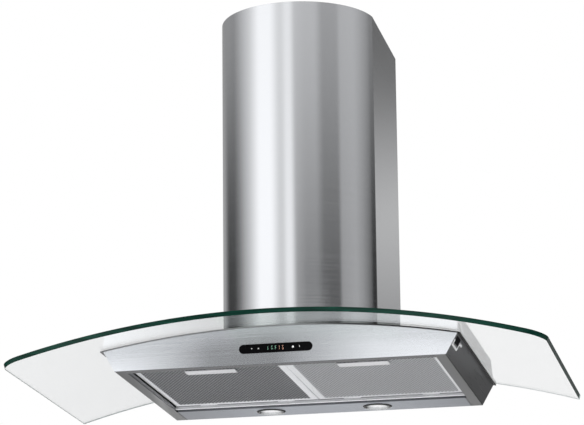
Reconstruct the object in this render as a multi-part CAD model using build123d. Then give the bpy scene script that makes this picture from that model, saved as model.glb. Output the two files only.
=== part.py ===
from build123d import *
import os
from math import asin, atan, cos, degrees, radians, sin, sqrt, tan

# Wall-mounted chimney range hood with an arched glass canopy, 90 cm class.
#
# Millimetres. +X is the viewer's right when facing the hood, +Y points to the
# wall, +Z is up. The origin is the middle of the rear bottom edge of the hood
# body, so the wall is the plane Y = 0 and the body's underside is Z = 0.

# ---------------------------------------------------------------- driving sizes

# Sheet metal and clearances
body_sheet = 1.0            # stainless sheet of the hood body
plate_sheet = 1.5           # arched plate that carries the glass
chimney_sheet = 1.0
run_gap = 0.3               # between faces that move past each other
seat_gap = 0.05             # between a curved seat and what lies on it
slip_gap = 1.5              # between the two chimney sections

# Glass canopy: a sheet bent to a cylinder whose axis runs front to back
glass_width = 900.0         # across the underside; its top face is a little wider
glass_front_y = -520.0
glass_rear_y = -5.0
glass_thick = 8.0
glass_radius = 1576.0       # radius of the underside
glass_apex_z = 66.0         # underside at the middle
glass_corner_r = 30.0

# Opening through the glass for the air, under the chimney
air_half_x = 88.0
air_front_y = -257.0
air_rear_y = -73.0
air_corner_r = 20.0

# Hood body
body_half_bottom = 278.0    # half width of the underside
body_half_top = 298.5       # half width where the side panels end
body_side_height = 36.0
fascia_y = -436.0           # outer face of the front fascia
hem_depth = 20.0            # the fascia's bottom edge folded to the rear
hem_upturn = 6.0
side_flange = 18.0          # the side panels' bottom edge folded inwards
plate_front_lap = 2.0       # how far the glass plate stands out in front
plate_side_lap = 5.0        # and beyond the side panels
plate_rear_y = -1.0
gasket_thick = 1.0
gasket_width = 14.0
gasket_inset = 3.0
gasket_gap = 0.2            # on each face, so that the flat strip clears the bent sheets
notch_front = 12.0          # corner notch in each side panel, from the fascia
notch_rear = 52.0
notch_margin = 2.2          # from the notch up to the panel's upper edge
notch_height = 13.0
clip_width = 2.4            # bright spring clip along the notch
clip_thick = 0.8
clip_tail = 23.0
clip_rise = 8.0             # how far the clip climbs the notch's front side

# Lamp panel across the rear of the underside
lamp_panel_front_y = -75.0
lamp_wall_height = 31.0
lamp_x = 96.0
lamp_y = -38.0
lamp_outer_r = 26.0
lamp_sleeve_r = 22.7
lamp_opening_r = 19.0
lamp_proud = 1.8
lamp_bevel = 1.1
lamp_sleeve_height = 8.0
lamp_can_r = 24.0
lamp_can_height = 16.0
lamp_can_wall = 1.0
lens_rim = 1.5
lens_crown = 3.2
lens_high_z = 4.0
bulb_r = 5.0
bulb_length = 12.0
bulb_round = 4.0

# Lamp transformer between the lamps
transformer_size = (90.0, 32.0, 25.0)
transformer_y = -44.0
transformer_round = 2.0
ear_length = 12.0
ear_thick = 2.0
ear_screw_length = 2.5      # through the ear and half into the panel
lead_r = 1.5                # sleeved leads from the transformer to the lamps
lead_z = 18.0

# Grease filters: two cassettes side by side, hinged at the rear
filter_low_z = 8.0
filter_thick = 9.0
filter_split = 1.5          # gap between the cassettes at the middle
filter_outer_x = 258.0
filter_front_y = -413.0
filter_rear_y = -84.5
bar_inner = 12.0            # frame bar beside the middle
bar_outer = 8.0
bar_front = 12.0
bar_rear = 7.5
bar_roll = 3.0              # rolled lower edge at the rear
mesh_inset = 0.5
pivot_y = -82.5
pivot_z = 10.0
pivot_r = 2.0
pivot_clear = 0.08
pivot_tab_length = 30.0
pivot_tab_x = 70.0          # from the middle of the cassette
pivot_neck = 2.0
rail_depth = 5.5
rail_low_z = 3.0
rail_high_z = 14.0
rail_web_low_z = 9.0        # web that joins the rail to the lamp panel

# Filter latches: a grip plate on a sprung slider
grip_x = 130.0
grip_length = 87.0
grip_front_y = -377.0
grip_rear_y = -351.0
grip_thick = 2.0
grip_corner_r = 2.0
latch_travel = 6.0
stem_half = 8.0
stem_front_y = -372.0
stem_rear_y = -357.0
tongue_half = 10.0
tongue_low_z = 11.5
tongue_high_z = 14.5
tongue_tip_gap = 0.4        # left between the tongue and the hem's upturn
latch_slot_gap = 0.4
spring_coil_r = 1.3
spring_wire_r = 0.3
spring_length = 10.0
spring_turns = 6

# Middle rail above the joint between the filters
middle_rail_half = 10.0
middle_rail_low_z = 19.0
middle_rail_height = 12.0

# Touch control in the fascia
panel_x = -4.2
panel_z = 26.5
panel_length = 123.6
panel_height = 15.3
panel_proud = 0.6
panel_fit = 0.15
panel_flange = 3.0
panel_flange_thick = 1.5
carrier_wall = 5.0
carrier_depth = 8.0
carrier_fit = 0.2
board_thick = 1.6
board_behind = 5.4          # from the fascia's rear face to the board's front
display_size = (44.0, 12.0)
display_x = -4.0
touch_places = (-44.5, -33.1, 24.9, 36.1)
touch_r = 2.5

# Wall mounts in the rear panel
wall_hole_x = 150.0
wall_hole_low_z = 15.0
wall_hole_pitch_z = 25.0
wall_hole_r = 4.25
mount_plate_width = 40.0
mount_plate_low_z = 5.0
mount_plate_height = 45.0
mount_plate_thick = 2.0

# Blower case above the glass, inside the chimney
case_half_x = 115.0
case_front_y = -285.0
case_rear_y = -45.0
case_low_z = 78.0
case_high_z = 332.0
case_sheet = 1.0
case_flange = 22.0
frame_thick = 2.0
bolt_inset_x = 12.0
bolt_inset_y = 13.0
bolt_r = 3.0
bolt_hole_r = 3.2
bolt_head_r = 5.0
bolt_head_height = 4.0
bolt_spare = 5.0
nut_r = 5.5
nut_height = 5.0
bush_shank_r = 6.5
bush_flange_r = 11.5
glass_hole_r = 7.5

# Scroll, impeller and motor, axis along X
axle_y = -150.0
axle_z = 185.0
scroll_start_r = 88.0
scroll_growth = 5.0
scroll_half_x = 52.0
scroll_wall = 1.5
scroll_inlet_r = 62.0
throat_depth = 106.0
scroll_lip = 2.0            # flange at the scroll's outlet
scroll_lip_reach = 80.0
impeller_r = 78.0
impeller_ring = 12.0
impeller_half_x = 48.0
impeller_end = 2.0
impeller_disc = 2.0
blade_count = 24
blade_thick = 1.4
blade_depth = 11.4
blade_lean = 28.0
hub_r = 11.0
hub_length = 14.0
shaft_r = 4.0
shaft_clear = 0.05
shaft_end_gap = 2.0
motor_r = 42.0
motor_near_x = 6.0
motor_far_x = 44.0
motor_boss_r = 22.0
motor_round = 4.0
motor_bore_far_x = 32.0
arm_count = 3
arm_half_width = 6.0
arm_thick = 2.0
arm_reach = 73.0
arm_hub_r = 26.0
grommet_r = 5.5
grommet_place_r = 67.0
grommet_height = 3.0

# Outlet collar with two non-return flaps
spigot_r = 75.0
spigot_wall = 1.5
spigot_height = 60.0
collar_flange_r = 88.0
collar_flange_thick = 2.0
collar_screw_count = 6
ledge_width = 5.5
ledge_height = 4.0
flap_level = 18.0           # hinge line above the collar's foot
flap_r = 71.0
flap_thick = 1.0
flap_pin_x = 4.5
flap_pin_r = 1.5
flap_knuckle_r = 3.0
flap_knuckle_length = 100.0

# Electrical parts on the blower case
box_half_x = 50.0
box_low_z = 200.0
box_high_z = 290.0
box_rear_y = -12.0
box_wall = 2.0
lid_thick = 2.0
box_boss_r = 4.0
lid_screw_inset = 5.5       # from the box's outside, so that the bosses grow from its walls
gland_r = 9.0
gland_length = 16.0
gland_bore_r = 4.0
gland_stud_r = 6.0
gland_stud_spare = 4.0
gland_x = -20.0
capacitor_r = 14.0
capacitor_length = 60.0
capacitor_y = -80.0
capacitor_low_z = 110.0
capacitor_foot = 6.0
capacitor_gap = 1.0         # from the can to the case wall
capacitor_round = 3.0

# Chimney: flat sides with a round front
chimney_half = 135.0
chimney_flat_depth = 247.0
chimney_sagitta = 112.0
chimney_bend_r = 8.0
chimney_high_z = 654.0
chimney_return = 12.0
upper_length = 400.0
upper_drop = 2.0            # how far the upper section's top lies below the lower's
glide_size = (1.2, 20.0, 14.0)
glide_depths = (-60.0, -220.0)
glide_high = 20.0
glide_low = 300.0
stop_reach = 4.0
stop_width = 16.0
stop_thick = 2.0
foot_thick = 2.0
foot_width = 30.0
foot_z = 130.0
foot_leg = 18.0
foot_depths = (-110.0, -220.0)

# Bracket that holds the chimney to the wall
bracket_low_z = 600.0
bracket_height = 40.0
bracket_thick = 2.0
bracket_half_x = 122.0
bracket_wing = 30.0
bracket_lap = 10.0
bracket_hole_x = 80.0
bracket_hole_r = 2.75

# Small pan-head screws used throughout
screw_r = 1.8
screw_head_r = 3.6
screw_head_height = 2.0
screw_head_round = 1.2
screw_length = 7.0
screw_clear = 0.05

# ------------------------------------------------------------- derived places

arch_z = glass_apex_z - glass_radius
gasket_low_r = glass_radius - gasket_thick
plate_low_r = gasket_low_r - plate_sheet
glass_top_r = glass_radius + glass_thick
side_lean = (body_half_top - body_half_bottom) / body_side_height
plate_half_x = body_half_top + plate_side_lap
plate_front_y = fascia_y - plate_front_lap
flange_edge_x = body_half_bottom - side_flange
fascia_inner_y = fascia_y + body_sheet
hem_rear_y = fascia_y + hem_depth
frame_low_z = case_low_z - frame_thick
filter_high_z = filter_low_z + filter_thick
filter_inner_x = filter_split / 2
scroll_front_r = scroll_start_r + 3 * scroll_growth
outlet_y = axle_y - scroll_front_r + throat_depth / 2
bore_r = spigot_r - spigot_wall
notch_high_z = arch_z + sqrt(plate_low_r ** 2 - body_half_top ** 2) - notch_margin
notch_low_z = notch_high_z - notch_height
over = 1.0                  # how far a cutter reaches past what it cuts
tall = 2000.0               # longer than anything that it cuts


# -------------------------------------------------------------------- helpers

def block(x0, x1, y0, y1, z0, z1):
    """A box between two opposite corners."""
    return Pos((x0 + x1) / 2, (y0 + y1) / 2, (z0 + z1) / 2) * Box(x1 - x0, y1 - y0, z1 - z0)


def rod_z(x, y, z0, z1, r):
    """An upright cylinder from z0 to z1."""
    return Pos(x, y, (z0 + z1) / 2) * Cylinder(r, z1 - z0)


def rod_y(x, z, y0, y1, r):
    """A cylinder that runs front to back."""
    return Pos(x, (y0 + y1) / 2, z) * Rot(90, 0, 0) * Cylinder(r, y1 - y0)


def rod_x(y, z, x0, x1, r):
    """A cylinder that runs left to right."""
    return Pos((x0 + x1) / 2, y, z) * Rot(0, 90, 0) * Cylinder(r, x1 - x0)


def arch_height(x, r):
    """Height at x of an arch of radius r about the glass's own axis."""
    return arch_z + sqrt(r * r - x * x)


def arch_solid(r):
    """Everything below an arch of radius r."""
    return rod_y(0, arch_z, -tall / 2, tall / 2, r)


def side_x(z):
    """Half width of the body's outside at a height."""
    return body_half_bottom + side_lean * z


def plan(outline, z0, z1):
    """A plan outline raised from z0 to z1."""
    return extrude(Pos(0, 0, z0) * outline, z1 - z0)


def rectangle(x0, x1, y0, y1, corner_r=0.0):
    """A plan rectangle, with rounded corners if a radius is given."""
    width, depth = x1 - x0, y1 - y0
    shape = RectangleRounded(width, depth, corner_r) if corner_r else Rectangle(width, depth)
    return Pos((x0 + x1) / 2, (y0 + y1) / 2) * shape


def capsule_y(x, z, length, height, y0, y1):
    """A capsule outline in the plane of the fascia, from y0 to y1."""
    outline = Plane.XZ * (Pos(x, z) * SlotOverall(length, height))
    return Pos(0, y1, 0) * extrude(outline, y1 - y0)


def mirrored(shape):
    """The same shape on the other side of the middle."""
    return mirror(shape, about=Plane.YZ)


def group(*shapes):
    """Separate solids kept in one node."""
    solids = []
    for shape in shapes:
        solids += shape.solids()
    return Compound(children=solids)


def bolt_places():
    """Plan places of the four bolts that clamp body, glass and blower."""
    bolt_x = case_half_x - bolt_inset_x
    depths = (case_front_y + bolt_inset_y, case_rear_y - bolt_inset_y)
    return [(side * bolt_x, y) for side in (-1, 1) for y in depths]


parts = {}

# ---------------------------------------------------------------- glass canopy

air_outline = rectangle(-air_half_x, air_half_x, air_front_y, air_rear_y, air_corner_r)


def arch_sheet(r_in, r_out, outline):
    """A sheet between two arch radii, cut to a plan outline."""
    low = arch_height(glass_width / 2, r_in) - over
    high = arch_height(0, r_out) + over
    return (plan(outline, low, high) & arch_solid(r_out)) - arch_solid(r_in)


def glass_canopy():
    """A sector of the arch: its side edges point to the axis, square to the sheet."""
    reach = tall * tan(asin(glass_width / 2 / glass_radius))
    sector = make_face(Polyline((0, arch_z), (reach, arch_z + tall), (-reach, arch_z + tall),
                                close=True))
    glass = Pos(0, glass_rear_y, 0) * extrude(Plane.XZ * sector, glass_rear_y - glass_front_y)
    glass = glass & arch_solid(glass_top_r)
    glass = glass - arch_solid(glass_radius)
    front_corners = glass.edges().filter_by(GeomType.LINE).group_by(Axis.Y)[0]
    glass = fillet(front_corners, glass_corner_r)
    glass -= plan(air_outline, 0, case_high_z)
    for x, y in bolt_places():
        glass -= rod_z(x, y, 0, case_high_z, glass_hole_r)
    return glass


parts["glass_canopy"] = glass_canopy()


def glass_gasket():
    edge_x = plate_half_x - gasket_inset
    front, rear = plate_front_y + gasket_inset, glass_rear_y - gasket_inset
    outer = rectangle(-edge_x, edge_x, front, rear)
    inner = rectangle(-edge_x + gasket_width, edge_x - gasket_width,
                      front + gasket_width, rear - gasket_width)
    return arch_sheet(gasket_low_r + gasket_gap, glass_radius - gasket_gap, outer - inner)


parts["glass_gasket"] = glass_gasket()


def top_plate():
    outline = rectangle(-plate_half_x, plate_half_x, plate_front_y, plate_rear_y) - air_outline
    plate = arch_sheet(plate_low_r, gasket_low_r, outline)
    for x, y in bolt_places():
        plate -= rod_z(x, y, 0, case_low_z, bolt_hole_r)
    return plate


parts["top_plate"] = top_plate()

# ------------------------------------------------------------------- hood body


def end_outline(y0, y1):
    """The body's section: straight sides that lean out, under the arch."""
    high = arch_height(0, plate_low_r) + over
    corners = [(-side_x(0), 0), (side_x(0), 0), (side_x(high), high), (-side_x(high), high)]
    face = make_face(Polyline(*corners, close=True))
    return Pos(0, y1, 0) * extrude(Plane.XZ * face, y1 - y0) & arch_solid(plate_low_r)


def front_fascia():
    fascia = end_outline(fascia_y, fascia_inner_y)
    hem = block(-flange_edge_x, flange_edge_x, fascia_y, hem_rear_y, 0, body_sheet)
    upturn = block(-flange_edge_x, flange_edge_x, hem_rear_y - body_sheet, hem_rear_y,
                   0, body_sheet + hem_upturn)
    fascia = fascia + hem + upturn
    window = capsule_y(panel_x, panel_z, panel_length + 2 * panel_fit,
                       panel_height + 2 * panel_fit, fascia_y - over, fascia_inner_y + over)
    return fascia - window


parts["front_fascia"] = front_fascia()


def side_panel_right():
    high = glass_apex_z
    corners = [(side_x(0), 0), (side_x(high), high),
               (side_x(high) - body_sheet, high), (side_x(0) - body_sheet, 0)]
    face = make_face(Polyline(*corners, close=True))
    depth = -body_sheet - fascia_inner_y
    wall = Pos(0, -body_sheet, 0) * extrude(Plane.XZ * face, depth) & arch_solid(plate_low_r)
    flange = block(flange_edge_x, body_half_bottom, fascia_inner_y, -body_sheet, 0, body_sheet)
    notch = block(0, tall, fascia_y + notch_front, fascia_y + notch_rear,
                  notch_low_z, notch_high_z)
    return wall + flange - notch


parts["side_panel_right"] = side_panel_right()
parts["side_panel_left"] = mirrored(parts["side_panel_right"])


def corner_clip():
    """A bent strip of spring steel round the notch, lying on the side panel."""
    front, rear = fascia_y + notch_front, fascia_y + notch_rear
    low, high = notch_low_z, notch_high_z
    runs = [block(0, clip_thick, front - clip_width, front, low, low + clip_rise),
            block(0, clip_thick, front - clip_width, rear, low - clip_width, low),
            block(0, clip_thick, rear, rear + clip_width, low - clip_width, high),
            block(0, clip_thick, rear, rear + clip_tail, high - clip_width, high)]
    strip = runs[0] + runs[1] + runs[2] + runs[3]
    lean = Rot(0, degrees(atan(side_lean)), 0)
    return Pos(body_half_bottom, 0, 0) * lean * strip


parts["corner_clips"] = group(corner_clip(), mirrored(corner_clip()))


def wall_hole_places():
    heights = (wall_hole_low_z, wall_hole_low_z + wall_hole_pitch_z)
    return [(side * wall_hole_x, z) for side in (-1, 1) for z in heights]


def rear_panel():
    panel = end_outline(-body_sheet, 0)
    for x, z in wall_hole_places():
        panel -= rod_y(x, z, -tall, tall, wall_hole_r)
    return panel


parts["rear_panel"] = rear_panel()


def mount_plate(side):
    middle = side * wall_hole_x
    plate = block(middle - mount_plate_width / 2, middle + mount_plate_width / 2,
                  -body_sheet - mount_plate_thick, -body_sheet,
                  mount_plate_low_z, mount_plate_low_z + mount_plate_height)
    for x, z in wall_hole_places():
        if x * side > 0:
            plate -= rod_y(x, z, -tall, tall, wall_hole_r)
    return plate


parts["mount_plates"] = group(mount_plate(-1), mount_plate(1))


def ear_screw_places():
    """Plan places of the screws through the transformer's ears."""
    reach = transformer_size[0] / 2 + ear_length / 2
    return [(-reach, transformer_y), (reach, transformer_y)]


def lamp_panel():
    floor = block(-flange_edge_x, flange_edge_x, lamp_panel_front_y, -body_sheet, 0, body_sheet)
    wall = block(-flange_edge_x, flange_edge_x, lamp_panel_front_y,
                 lamp_panel_front_y + body_sheet, 0, lamp_wall_height)
    panel = floor + wall
    for side in (-1, 1):
        panel -= rod_z(side * lamp_x, lamp_y, -tall, tall, lamp_sleeve_r + panel_fit)
    for x, y in ear_screw_places():
        panel -= rod_z(x, y, body_sheet + ear_thick - ear_screw_length, tall, screw_r + screw_clear)
    return panel


parts["lamp_panel"] = lamp_panel()


def middle_rail():
    outer = block(-middle_rail_half, middle_rail_half, hem_rear_y, lamp_panel_front_y,
                  middle_rail_low_z, middle_rail_low_z + middle_rail_height)
    inner = block(-middle_rail_half + body_sheet, middle_rail_half - body_sheet,
                  hem_rear_y + body_sheet, lamp_panel_front_y,
                  middle_rail_low_z + body_sheet, tall)
    foot = block(-middle_rail_half, middle_rail_half, hem_rear_y, hem_rear_y + body_sheet,
                 body_sheet, middle_rail_low_z + body_sheet)
    return outer - inner + foot


parts["middle_rail"] = middle_rail()


def filter_rail():
    front = pivot_y
    rail = block(-flange_edge_x, flange_edge_x, front, front + rail_depth,
                 rail_low_z, rail_high_z)
    web = block(-flange_edge_x, flange_edge_x, front + rail_depth, lamp_panel_front_y,
                rail_web_low_z, rail_high_z)
    return rail + web - rod_x(pivot_y, pivot_z, -tall / 2, tall / 2, pivot_r + pivot_clear)


parts["filter_rail"] = filter_rail()

# -------------------------------------------------------------- touch control


def control_lens():
    face = capsule_y(panel_x, panel_z, panel_length, panel_height,
                     fascia_y - panel_proud, fascia_inner_y)
    flange = capsule_y(panel_x, panel_z, panel_length + 2 * panel_flange,
                       panel_height + 2 * panel_flange,
                       fascia_inner_y, fascia_inner_y + panel_flange_thick)
    return face + flange


parts["control_lens"] = control_lens()

pocket_length = panel_length + 2 * (panel_flange + carrier_fit)
pocket_height = panel_height + 2 * (panel_flange + carrier_fit)
board_front_y = fascia_inner_y + board_behind


def panel_block(length, height, y0, y1):
    """A block centred on the control panel."""
    return block(panel_x - length / 2, panel_x + length / 2, y0, y1,
                 panel_z - height / 2, panel_z + height / 2)


def control_carrier():
    rear = fascia_inner_y + carrier_depth
    outer = panel_block(pocket_length + 2 * carrier_wall, pocket_height + 2 * carrier_wall,
                        fascia_inner_y, rear)
    return outer - panel_block(pocket_length, pocket_height, fascia_inner_y - over, rear + over)


parts["control_carrier"] = control_carrier()
parts["control_board"] = panel_block(pocket_length, pocket_height,
                                     board_front_y, board_front_y + board_thick)

lens_back_y = fascia_inner_y + panel_flange_thick
display_length, display_height = display_size
parts["display_module"] = block(display_x - display_length / 2, display_x + display_length / 2,
                                lens_back_y, board_front_y,
                                panel_z - display_height / 2, panel_z + display_height / 2)
parts["touch_springs"] = group(*[rod_y(x, panel_z, lens_back_y, board_front_y, touch_r)
                                 for x in touch_places])

# ----------------------------------------------------------------------- lamps


def lamp_bezel(x):
    ring = rod_z(x, lamp_y, -lamp_proud, 0, lamp_outer_r)
    ring = chamfer(ring.edges().group_by(Axis.Z)[0], lamp_bevel)
    sleeve = rod_z(x, lamp_y, 0, lamp_sleeve_height, lamp_sleeve_r)
    return ring + sleeve - rod_z(x, lamp_y, -tall, tall, lamp_opening_r)


def lamp_lens(x):
    """A convex glass seated in the bezel's bore, its crown downwards."""
    crown_z = lens_high_z - lens_rim - lens_crown
    crown_r = (lamp_opening_r ** 2 + lens_crown ** 2) / (2 * lens_crown)
    disc = rod_z(x, lamp_y, crown_z, lens_high_z, lamp_opening_r)
    return disc & Pos(x, lamp_y, crown_z + crown_r) * Sphere(crown_r)


def lamp_housing(x):
    low = lamp_sleeve_height
    can = rod_z(x, lamp_y, low, low + lamp_can_height, lamp_can_r)
    return can - rod_z(x, lamp_y, low - over, low + lamp_can_height - lamp_can_wall,
                       lamp_can_r - lamp_can_wall)


def lamp_bulb(x):
    ceiling = lamp_sleeve_height + lamp_can_height - lamp_can_wall
    glass = rod_z(x, lamp_y, ceiling - bulb_length, ceiling, bulb_r)
    return fillet(glass.edges().group_by(Axis.Z)[0], bulb_round)


for name, side in (("left", -1), ("right", 1)):
    parts["lamp_bezel_" + name] = lamp_bezel(side * lamp_x)
    parts["lamp_lens_" + name] = lamp_lens(side * lamp_x)
    parts["lamp_housing_" + name] = lamp_housing(side * lamp_x)
    parts["lamp_bulb_" + name] = lamp_bulb(side * lamp_x)


def lamp_transformer():
    length, depth, height = transformer_size
    low = body_sheet
    case = block(-length / 2, length / 2, transformer_y - depth / 2, transformer_y + depth / 2,
                 low, low + height)
    case = fillet(case.edges().filter_by(Axis.Z), transformer_round)
    ears = block(-length / 2 - ear_length, length / 2 + ear_length,
                 transformer_y - ear_length / 2, transformer_y + ear_length / 2,
                 low, low + ear_thick)
    for x, y in ear_screw_places():
        ears -= rod_z(x, y, -tall, tall, screw_r + screw_clear)
    return case + ears


parts["lamp_transformer"] = lamp_transformer()
parts["lamp_leads"] = group(*[rod_x(lamp_y, lead_z, x0, x1, lead_r)
                              for x0, x1 in ((transformer_size[0] / 2, lamp_x - lamp_can_r),
                                             (lamp_can_r - lamp_x, -transformer_size[0] / 2))])

# --------------------------------------------------------------- grease filters


def filter_frame_right():
    outer = block(filter_inner_x, filter_outer_x, filter_front_y, filter_rear_y,
                  filter_low_z, filter_high_z)
    rear_low_edge = outer.edges().filter_by(Axis.X).group_by(Axis.Z)[0].sort_by(Axis.Y)[-1]
    outer = fillet(rear_low_edge, bar_roll)
    inner = block(filter_inner_x + bar_inner, filter_outer_x - bar_outer,
                  filter_front_y + bar_front, filter_rear_y - bar_rear,
                  filter_low_z - over, filter_high_z + over)
    frame = outer - inner
    middle = (filter_inner_x + filter_outer_x) / 2
    for side in (-1, 1):
        x = middle + side * pivot_tab_x
        x0, x1 = x - pivot_tab_length / 2, x + pivot_tab_length / 2
        neck = block(x0, x1, filter_rear_y - over, pivot_y,
                     pivot_z - pivot_neck / 2, pivot_z + pivot_neck / 2)
        frame = frame + neck + rod_x(pivot_y, pivot_z, x0, x1, pivot_r)
    return frame - tongue_space(grip_x)


def tongue_space(x):
    """Channel in a cassette for the latch tongue and its spring."""
    half = tongue_half + latch_slot_gap
    spring_end_y = stem_rear_y + 2 * run_gap + spring_length + 2 * spring_wire_r
    return block(x - half, x + half, filter_front_y - over, spring_end_y,
                 tongue_low_z - latch_slot_gap, tongue_high_z + latch_slot_gap)


def stem_space(x):
    """Slot in a cassette's lower face for the latch stem and its travel."""
    half = stem_half + latch_slot_gap
    return block(x - half, x + half, stem_front_y - latch_slot_gap,
                 stem_rear_y + latch_travel + latch_slot_gap,
                 filter_low_z - over, tongue_high_z)


def filter_mesh_right():
    pack = block(filter_inner_x + bar_inner, filter_outer_x - bar_outer,
                 filter_front_y + bar_front, filter_rear_y - bar_rear,
                 filter_low_z + mesh_inset, filter_high_z - mesh_inset)
    return pack - tongue_space(grip_x) - stem_space(grip_x)


def latch_right():
    grip_low = filter_low_z + mesh_inset - run_gap - grip_thick
    grip = block(grip_x - grip_length / 2, grip_x + grip_length / 2,
                 grip_front_y, grip_rear_y, grip_low, grip_low + grip_thick)
    grip = fillet(grip.edges().filter_by(Axis.Z), grip_corner_r)
    stem = block(grip_x - stem_half, grip_x + stem_half, stem_front_y, stem_rear_y,
                 grip_low + grip_thick, tongue_high_z)
    tongue = block(grip_x - tongue_half, grip_x + tongue_half,
                   hem_rear_y + tongue_tip_gap, stem_rear_y, tongue_low_z, tongue_high_z)
    return grip + stem + tongue


def latch_spring_right():
    """A small compression spring between the tongue and the end of its channel."""
    path = Helix(spring_length / spring_turns, spring_length, spring_coil_r)
    wire = Plane(origin=path @ 0, z_dir=path % 0) * Circle(spring_wire_r)
    coil = sweep(wire, path=path)
    middle_z = (tongue_low_z + tongue_high_z) / 2
    start_y = stem_rear_y + run_gap + spring_wire_r
    return Pos(grip_x, start_y, middle_z) * Rot(-90, 0, 0) * coil


for name, maker in (("filter_frame", filter_frame_right), ("filter_mesh", filter_mesh_right),
                    ("latch", latch_right), ("latch_spring", latch_spring_right)):
    parts[name + "_right"] = maker()
    parts[name + "_left"] = mirrored(parts[name + "_right"])

# ------------------------------------------------- blower frame, case and bolts


def ring_plate(low, high, inner_edge):
    outer = rectangle(-case_half_x, case_half_x, case_front_y, case_rear_y)
    inner = rectangle(-case_half_x + inner_edge, case_half_x - inner_edge,
                      case_front_y + inner_edge, case_rear_y - inner_edge)
    ring = plan(outer - inner, low, high)
    for x, y in bolt_places():
        ring -= rod_z(x, y, low - over, high + over, bolt_hole_r)
    return ring


parts["blower_frame"] = ring_plate(frame_low_z, case_low_z, case_flange)


def collar_screw_places():
    """Plan places of the screws that hold the outlet collar."""
    place_r = (spigot_r + collar_flange_r) / 2
    angles = [radians(360 / collar_screw_count * index) for index in range(collar_screw_count)]
    return [(place_r * cos(angle), outlet_y + place_r * sin(angle)) for angle in angles]


def collar_screw_holes():
    """Cutters for those screws, through all that they pass."""
    low, high = case_high_z - screw_length, case_high_z + screw_length
    return group(*[rod_z(x, y, low, high, screw_r + screw_clear) for x, y in collar_screw_places()])


def blower_case():
    outer = block(-case_half_x, case_half_x, case_front_y, case_rear_y, case_low_z, case_high_z)
    inner = block(-case_half_x + case_sheet, case_half_x - case_sheet,
                  case_front_y + case_sheet, case_rear_y - case_sheet,
                  case_low_z - over, case_high_z - case_sheet)
    walls = outer - inner
    hole = rod_z(0, outlet_y, case_low_z, case_high_z + over, bore_r)
    case = walls + ring_plate(case_low_z, case_low_z + case_sheet, case_flange) - hole
    return case - collar_screw_holes()


parts["blower_case"] = blower_case()


def glass_bush(x, y):
    """A nylon bush that carries the blower through the glass."""
    shank = rod_z(x, y, 0, frame_low_z, bush_shank_r) - arch_solid(gasket_low_r + seat_gap)
    flange = rod_z(x, y, 0, frame_low_z, bush_flange_r) - arch_solid(glass_top_r + seat_gap)
    return shank + flange - rod_z(x, y, 0, case_low_z, bolt_hole_r)


def bolt_head_z(x):
    """Top of a bolt's head, at the low side of the sloping plate above it."""
    return arch_height(abs(x) + bolt_head_r, plate_low_r) - seat_gap


def clamp_bolt(x, y):
    top = case_low_z + case_sheet + nut_height + bolt_spare
    head_top = bolt_head_z(x)
    head = Pos(x, y, head_top - bolt_head_height) * extrude(RegularPolygon(bolt_head_r, 6),
                                                            bolt_head_height)
    return head + rod_z(x, y, head_top, top, bolt_r)


def clamp_nut(x, y):
    low = case_low_z + case_sheet
    nut = Pos(x, y, low) * extrude(RegularPolygon(nut_r, 6), nut_height)
    return nut - rod_z(x, y, low - over, low + nut_height + over, bolt_r + seat_gap)


parts["glass_bushes"] = group(*[glass_bush(x, y) for x, y in bolt_places()])
parts["clamp_bolts"] = group(*[clamp_bolt(x, y) for x, y in bolt_places()])
parts["clamp_nuts"] = group(*[clamp_nut(x, y) for x, y in bolt_places()])

# --------------------------------------------------- scroll, impeller and motor

scroll_top = case_high_z - case_sheet - axle_z


def scroll_outline(wall):
    """Section of the scroll: three growing arcs and a straight throat.

    In the section, the first axis points to the front and the second up.
    The wall thickness is added outside the inner outline.
    """
    r0 = scroll_start_r + wall
    r1 = r0 + scroll_growth
    r2 = r1 + scroll_growth
    front = scroll_growth + r2
    tongue = front - throat_depth - 2 * wall
    start = (tongue, sqrt(r0 * r0 - tongue * tongue))
    half = sqrt(0.5)
    first = ThreePointArc(start, (-r0 * half, r0 * half), (-r0, 0))
    second = ThreePointArc((-r0, 0), (scroll_growth - r1 * half, -r1 * half),
                           (scroll_growth, -r1))
    third = ThreePointArc((scroll_growth, -r1),
                          (scroll_growth + r2 * half, scroll_growth - r2 * half),
                          (front, scroll_growth))
    throat = Polyline((front, scroll_growth), (front, scroll_top), (tongue, scroll_top), start)
    return make_face([first, second, third, throat])


def across(outline, x0, x1):
    """A section raised along X, with its axes to the front and up."""
    section = Plane(origin=(x0, axle_y, axle_z), x_dir=(0, -1, 0), z_dir=(-1, 0, 0))
    return extrude(section * outline, x0 - x1)


def arm_turn(index):
    """Direction of one of the motor's arms, in degrees."""
    return 90 + 360 / arm_count * index


def arm_places():
    """Where the motor's arms are fixed, as places in the YZ plane."""
    angles = [radians(arm_turn(index)) for index in range(arm_count)]
    return [(axle_y + grommet_place_r * cos(angle), axle_z + grommet_place_r * sin(angle))
            for angle in angles]


def scroll_housing():
    outer = across(scroll_outline(scroll_wall), -scroll_half_x, scroll_half_x)
    inner = across(scroll_outline(0), -scroll_half_x + scroll_wall, scroll_half_x - scroll_wall)
    top = axle_z + scroll_top
    lip = block(-scroll_lip_reach, scroll_lip_reach,
                outlet_y - scroll_lip_reach, outlet_y + scroll_lip_reach,
                top - scroll_lip, top)
    inlets = rod_x(axle_y, axle_z, -scroll_half_x - over, scroll_half_x + over, scroll_inlet_r)
    housing = outer + lip - inner - inlets
    for y, z in arm_places():
        housing -= rod_x(y, z, 0, scroll_half_x + over, screw_r + screw_clear)
    return housing - collar_screw_holes()


parts["scroll_housing"] = scroll_housing()


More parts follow.
